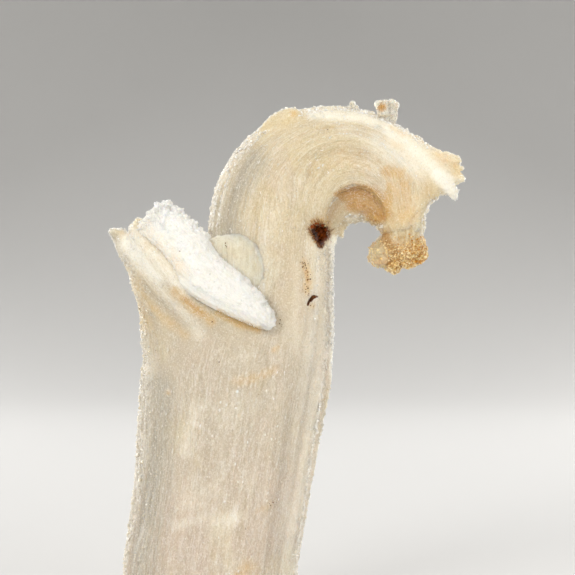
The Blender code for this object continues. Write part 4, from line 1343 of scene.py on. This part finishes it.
def pit_grains(tree):
    """The rough, rusty filling of the pit, with a dark, glassy band low on its left."""
    draws = np.random.RandomState(5)
    places, radii, pale, stained = [], [], [], []
    (near_y, far_y), (wide, narrow) = PIT.ys, PIT.shares
    for number in range(PIT_GRAINS):
        t, out = draws.uniform(), 0.95 * math.sqrt(draws.uniform())
        x, z = in_pit(number, t, out)
        hit = front_hit(tree, x, z)
        if out > wide + (narrow - wide) * (hit.y - near_y) / (far_y - near_y) + 0.03:
            continue  # outside the mouth
        glassy = off_line(np.array([(x, hit.y, z)]), PIT_BAND)[0] < 0.55
        places.append((x, hit.y, z))
        radii.append(draws.uniform(0.2, 0.42) * (1.3 if glassy else 1))
        pale.append(draws.uniform())
        stained.append(0.0 if glassy else draws.uniform(0.65, 1))
    return grain_mesh("pit_grains", draws, np.array(places), np.array(radii), pale, stained)


def dark_specks(trees):
    """Specks of dirt on the front, and the dark fibres that stand round the mouth of the pit."""
    draws = np.random.RandomState(31)
    places, radii = [], []
    for speck in SPECKS:
        for _ in range(speck.count):
            x = speck.x + draws.normal(0, speck.spread)
            z = speck.z + draws.normal(0, speck.spread * 1.4)
            hits = [front_hit(tree, x, z) or Vector((x, BEYOND, z)) for tree in trees]
            places.append(tuple(min(hits, key=lambda hit: hit.y)))
            radii.append(speck.radius * draws.uniform(0.6, 1.3))
    pale, stained = draws.uniform(size=len(places)), draws.uniform(0, 0.6, len(places))
    specks = grain_mesh("dirt_specks", draws, np.array(places), np.array(radii), pale, stained)

    points, faces, tints = [], [], []
    for number in range(PIT_BURRS):
        _, t = draws.uniform(size=2)
        x, z = in_pit(number, t)
        away = Vector((x - PIT.centre[0], 0, z - PIT.centre[1] + 0.6)).normalized()
        away.rotate(Euler((0, draws.normal(0, 0.3), 0)))
        length = draws.uniform(0.4, 1.25) * (1.0 if away.z > -0.2 else 0.6)
        low = Vector((x, 0, z)) - away * 0.3
        low, high = (front_hit(trees[0], end.x, end.z) or end for end in (low, low + away * (length + 0.3)))
        low.y = high.y
        side = away.cross(Vector((0, 1, 0))) * draws.uniform(0.03, 0.06)
        out = Vector((0, -draws.uniform(0.05, 0.12), 0))
        middle = low.lerp(high, 0.35) + out
        faces += [tuple(len(points) + corner for corner in face) for face in BURR_FACES]
        points += [low, middle + side, middle - out * 1.5, middle - side, high, middle + out]
        tints += [(draws.uniform(), draws.uniform(), 0)] * 6
    burrs = mesh_object("pit_burrs", points, faces)
    set_vector(burrs, "tint", *np.array(tints).T)
    return specks, burrs


# ---- The stage, in metres

VIEW_MIDDLE = Vector((15.1, 0, 65.5)) * MM
VIEW_DISTANCE = 319 * MM
VIEW_LENS, VIEW_SENSOR = 100, 36  # in millimetres
WARM_LIGHT = (1, 0.985, 0.96)
LIGHTS = {  # place, size, power and colour
    "key": ((-0.48, -0.7, 0.42), (0.4, 0.4), 4, WARM_LIGHT),
    "fill": ((0.6, -0.68, 0.2), (0.45, 0.45), 3.3, WARM_LIGHT),
    "low_fill": ((-0.25, -0.9, 0.02), (0.5, 0.3), 1.2, (1, 0.98, 0.95)),
    "rim_left": ((-0.6, 0.5, 0.3), (0.3, 0.6), 5, (1, 1, 1)),
    "rim_right": ((0.6, 0.5, 0.35), (0.3, 0.6), 5, (1, 1, 1)),
    "top": ((0, 0.1, 0.95), (0.6, 0.6), 3.6, (1, 1, 1)),
}
LIGHTS_AIM = Vector((0.014, 0, 0.06))
FLOOR_REACH = 0.6
WALL_BEND = 0.7
WALL_TOP = 2.0
WALL_AROUND = 96
WORLD_COLOUR = (1, 0.99, 0.97, 1)
WORLD_STRENGTH = 0.35


def camera():
    data = bpy.data.cameras.new("camera")
    data.lens = VIEW_LENS
    data.sensor_width = VIEW_SENSOR
    data.clip_start, data.clip_end = 0.01, 20
    obj = linked("camera", data)
    obj.location = VIEW_MIDDLE - Vector((0, VIEW_DISTANCE, 0))
    obj.rotation_euler = Euler((math.pi / 2, 0, 0))
    bpy.context.scene.camera = obj


def backdrop():
    """A plain pale floor that curves up into a wall all round."""
    profile = [(FLOOR_REACH * k / 6, 0) for k in range(1, 7)]
    for angle in (math.radians(degrees) for degrees in range(5, 91, 5)):
        profile.append((FLOOR_REACH + WALL_BEND * math.sin(angle), WALL_BEND * (1 - math.cos(angle))))
    profile.append((FLOOR_REACH + WALL_BEND, WALL_TOP))
    turns = [2 * math.pi * k / WALL_AROUND for k in range(WALL_AROUND)]
    points = [(0, 0, 0)]
    points += [(*on_circle((0, 0), radius, turn), height) for radius, height in profile for turn in turns]
    round_pairs = [(k, (k + 1) % WALL_AROUND) for k in range(WALL_AROUND)]
    faces = [(0, 1 + k, 1 + after) for k, after in round_pairs]
    for ring in range(len(profile) - 1):
        low, high = 1 + ring * WALL_AROUND, 1 + (ring + 1) * WALL_AROUND
        faces += [(low + k, high + k, high + after, low + after) for k, after in round_pairs]
    obj = mesh_object("backdrop", points, faces)
    obj.data.shade_smooth()
    paper = Finish("backdrop_paper")
    paper.set(Base_Color=rgb(198, 197, 195), Roughness=0.9, Specular_IOR_Level=0.1)
    obj.data.materials.append(paper.material)


def lights():
    for name, (place, size, power, colour) in LIGHTS.items():
        data = bpy.data.lights.new(name, "AREA")
        data.shape = "RECTANGLE"
        data.size, data.size_y = size
        data.energy = power
        data.color = colour
        obj = linked(name, data)
        obj.location = place
        obj.rotation_euler = (Vector(place) - LIGHTS_AIM).to_track_quat("Z", "Y").to_euler()
        obj.visible_camera = False
    world = bpy.data.worlds.new("studio")
    world.use_nodes = True
    background = world.node_tree.nodes["Background"]
    background.inputs["Color"].default_value = WORLD_COLOUR
    background.inputs["Strength"].default_value = WORLD_STRENGTH
    bpy.context.scene.world = world


GRAIN_FINISHES = {  # the dark, the pale and the stained colour, roughness, subsurface, shine and clearness
    "sugary_gypsum": (((216, 203, 176), (255, 252, 245), (222, 186, 122)), (0.45, 0.2), 0.5),
    "snow_grains": (((240, 235, 220), (255, 252, 245), (222, 186, 122)), (0.45, 0.2), 0.5),
    "golden_grains": (((232, 184, 98), (252, 234, 186), (206, 142, 54)), (0.3, 0.08), 0.1),
    "half_clear": (((220, 212, 194), (246, 243, 233), (208, 160, 84)), (0.4, 0.2), 0.7, 0.5, 0.3),
    "pit_glass": (((52, 30, 24), (96, 66, 56), (134, 62, 10)), (0.7, 0.4), 0, 0.15),
    "dirt": (((78, 44, 18), (120, 74, 36), (156, 102, 52)), (0.8, 0.6), 0, 0.2),
    "burr_brown": (((122, 74, 36), (158, 108, 58), (184, 134, 78)), (0.7, 0.5), 0),
}


def main():
    camera()
    backdrop()
    lights()
    bpy.context.scene.view_settings.view_transform = "Standard"
    body = gypsum_body()
    blade = white_blade()
    crust = knob()
    plate = front_plate(tree_of(body))
    grains, head_grains = sugar_grains(body, blade)
    crystals = crust_crystals(crust)
    trees = [tree_of(obj) for obj in (body, blade, plate)]
    specks, burrs = dark_specks(trees)
    rust = pit_grains(trees[0])
    finishes = {name: grain_finish(name, *values) for name, values in GRAIN_FINISHES.items()}
    for obj, material in (
        (body, fibrous_finish("fibrous_gypsum", STEM_COLOUR, HORN_COLOUR)),
        (blade, fibrous_finish("snowy_gypsum", CREAM, CREAM, 0.9, 0.7, 0.4, 0.13)),
        (crust, knob_finish()),
        (grains, finishes["sugary_gypsum"]),
        (head_grains, finishes["snow_grains"]),
        (crystals, finishes["golden_grains"]),
        (plate, clear_plate_finish()),
        (hook_end(), fibrous_finish("flaky_gypsum", CREAM, CREAM, 0.2, 0.7, 0.4, 0.12)),
        (rim_crystals(), finishes["half_clear"]),
        (rust, finishes["pit_glass"]),
        (specks, finishes["dirt"]),
        (burrs, finishes["burr_brown"]),
    ):
        obj.data.materials.clear()
        obj.data.materials.append(material)
        obj.data.transform(Matrix.Scale(MM, 4))
        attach(obj, "root")
    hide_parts("gypsum_curl")


main()
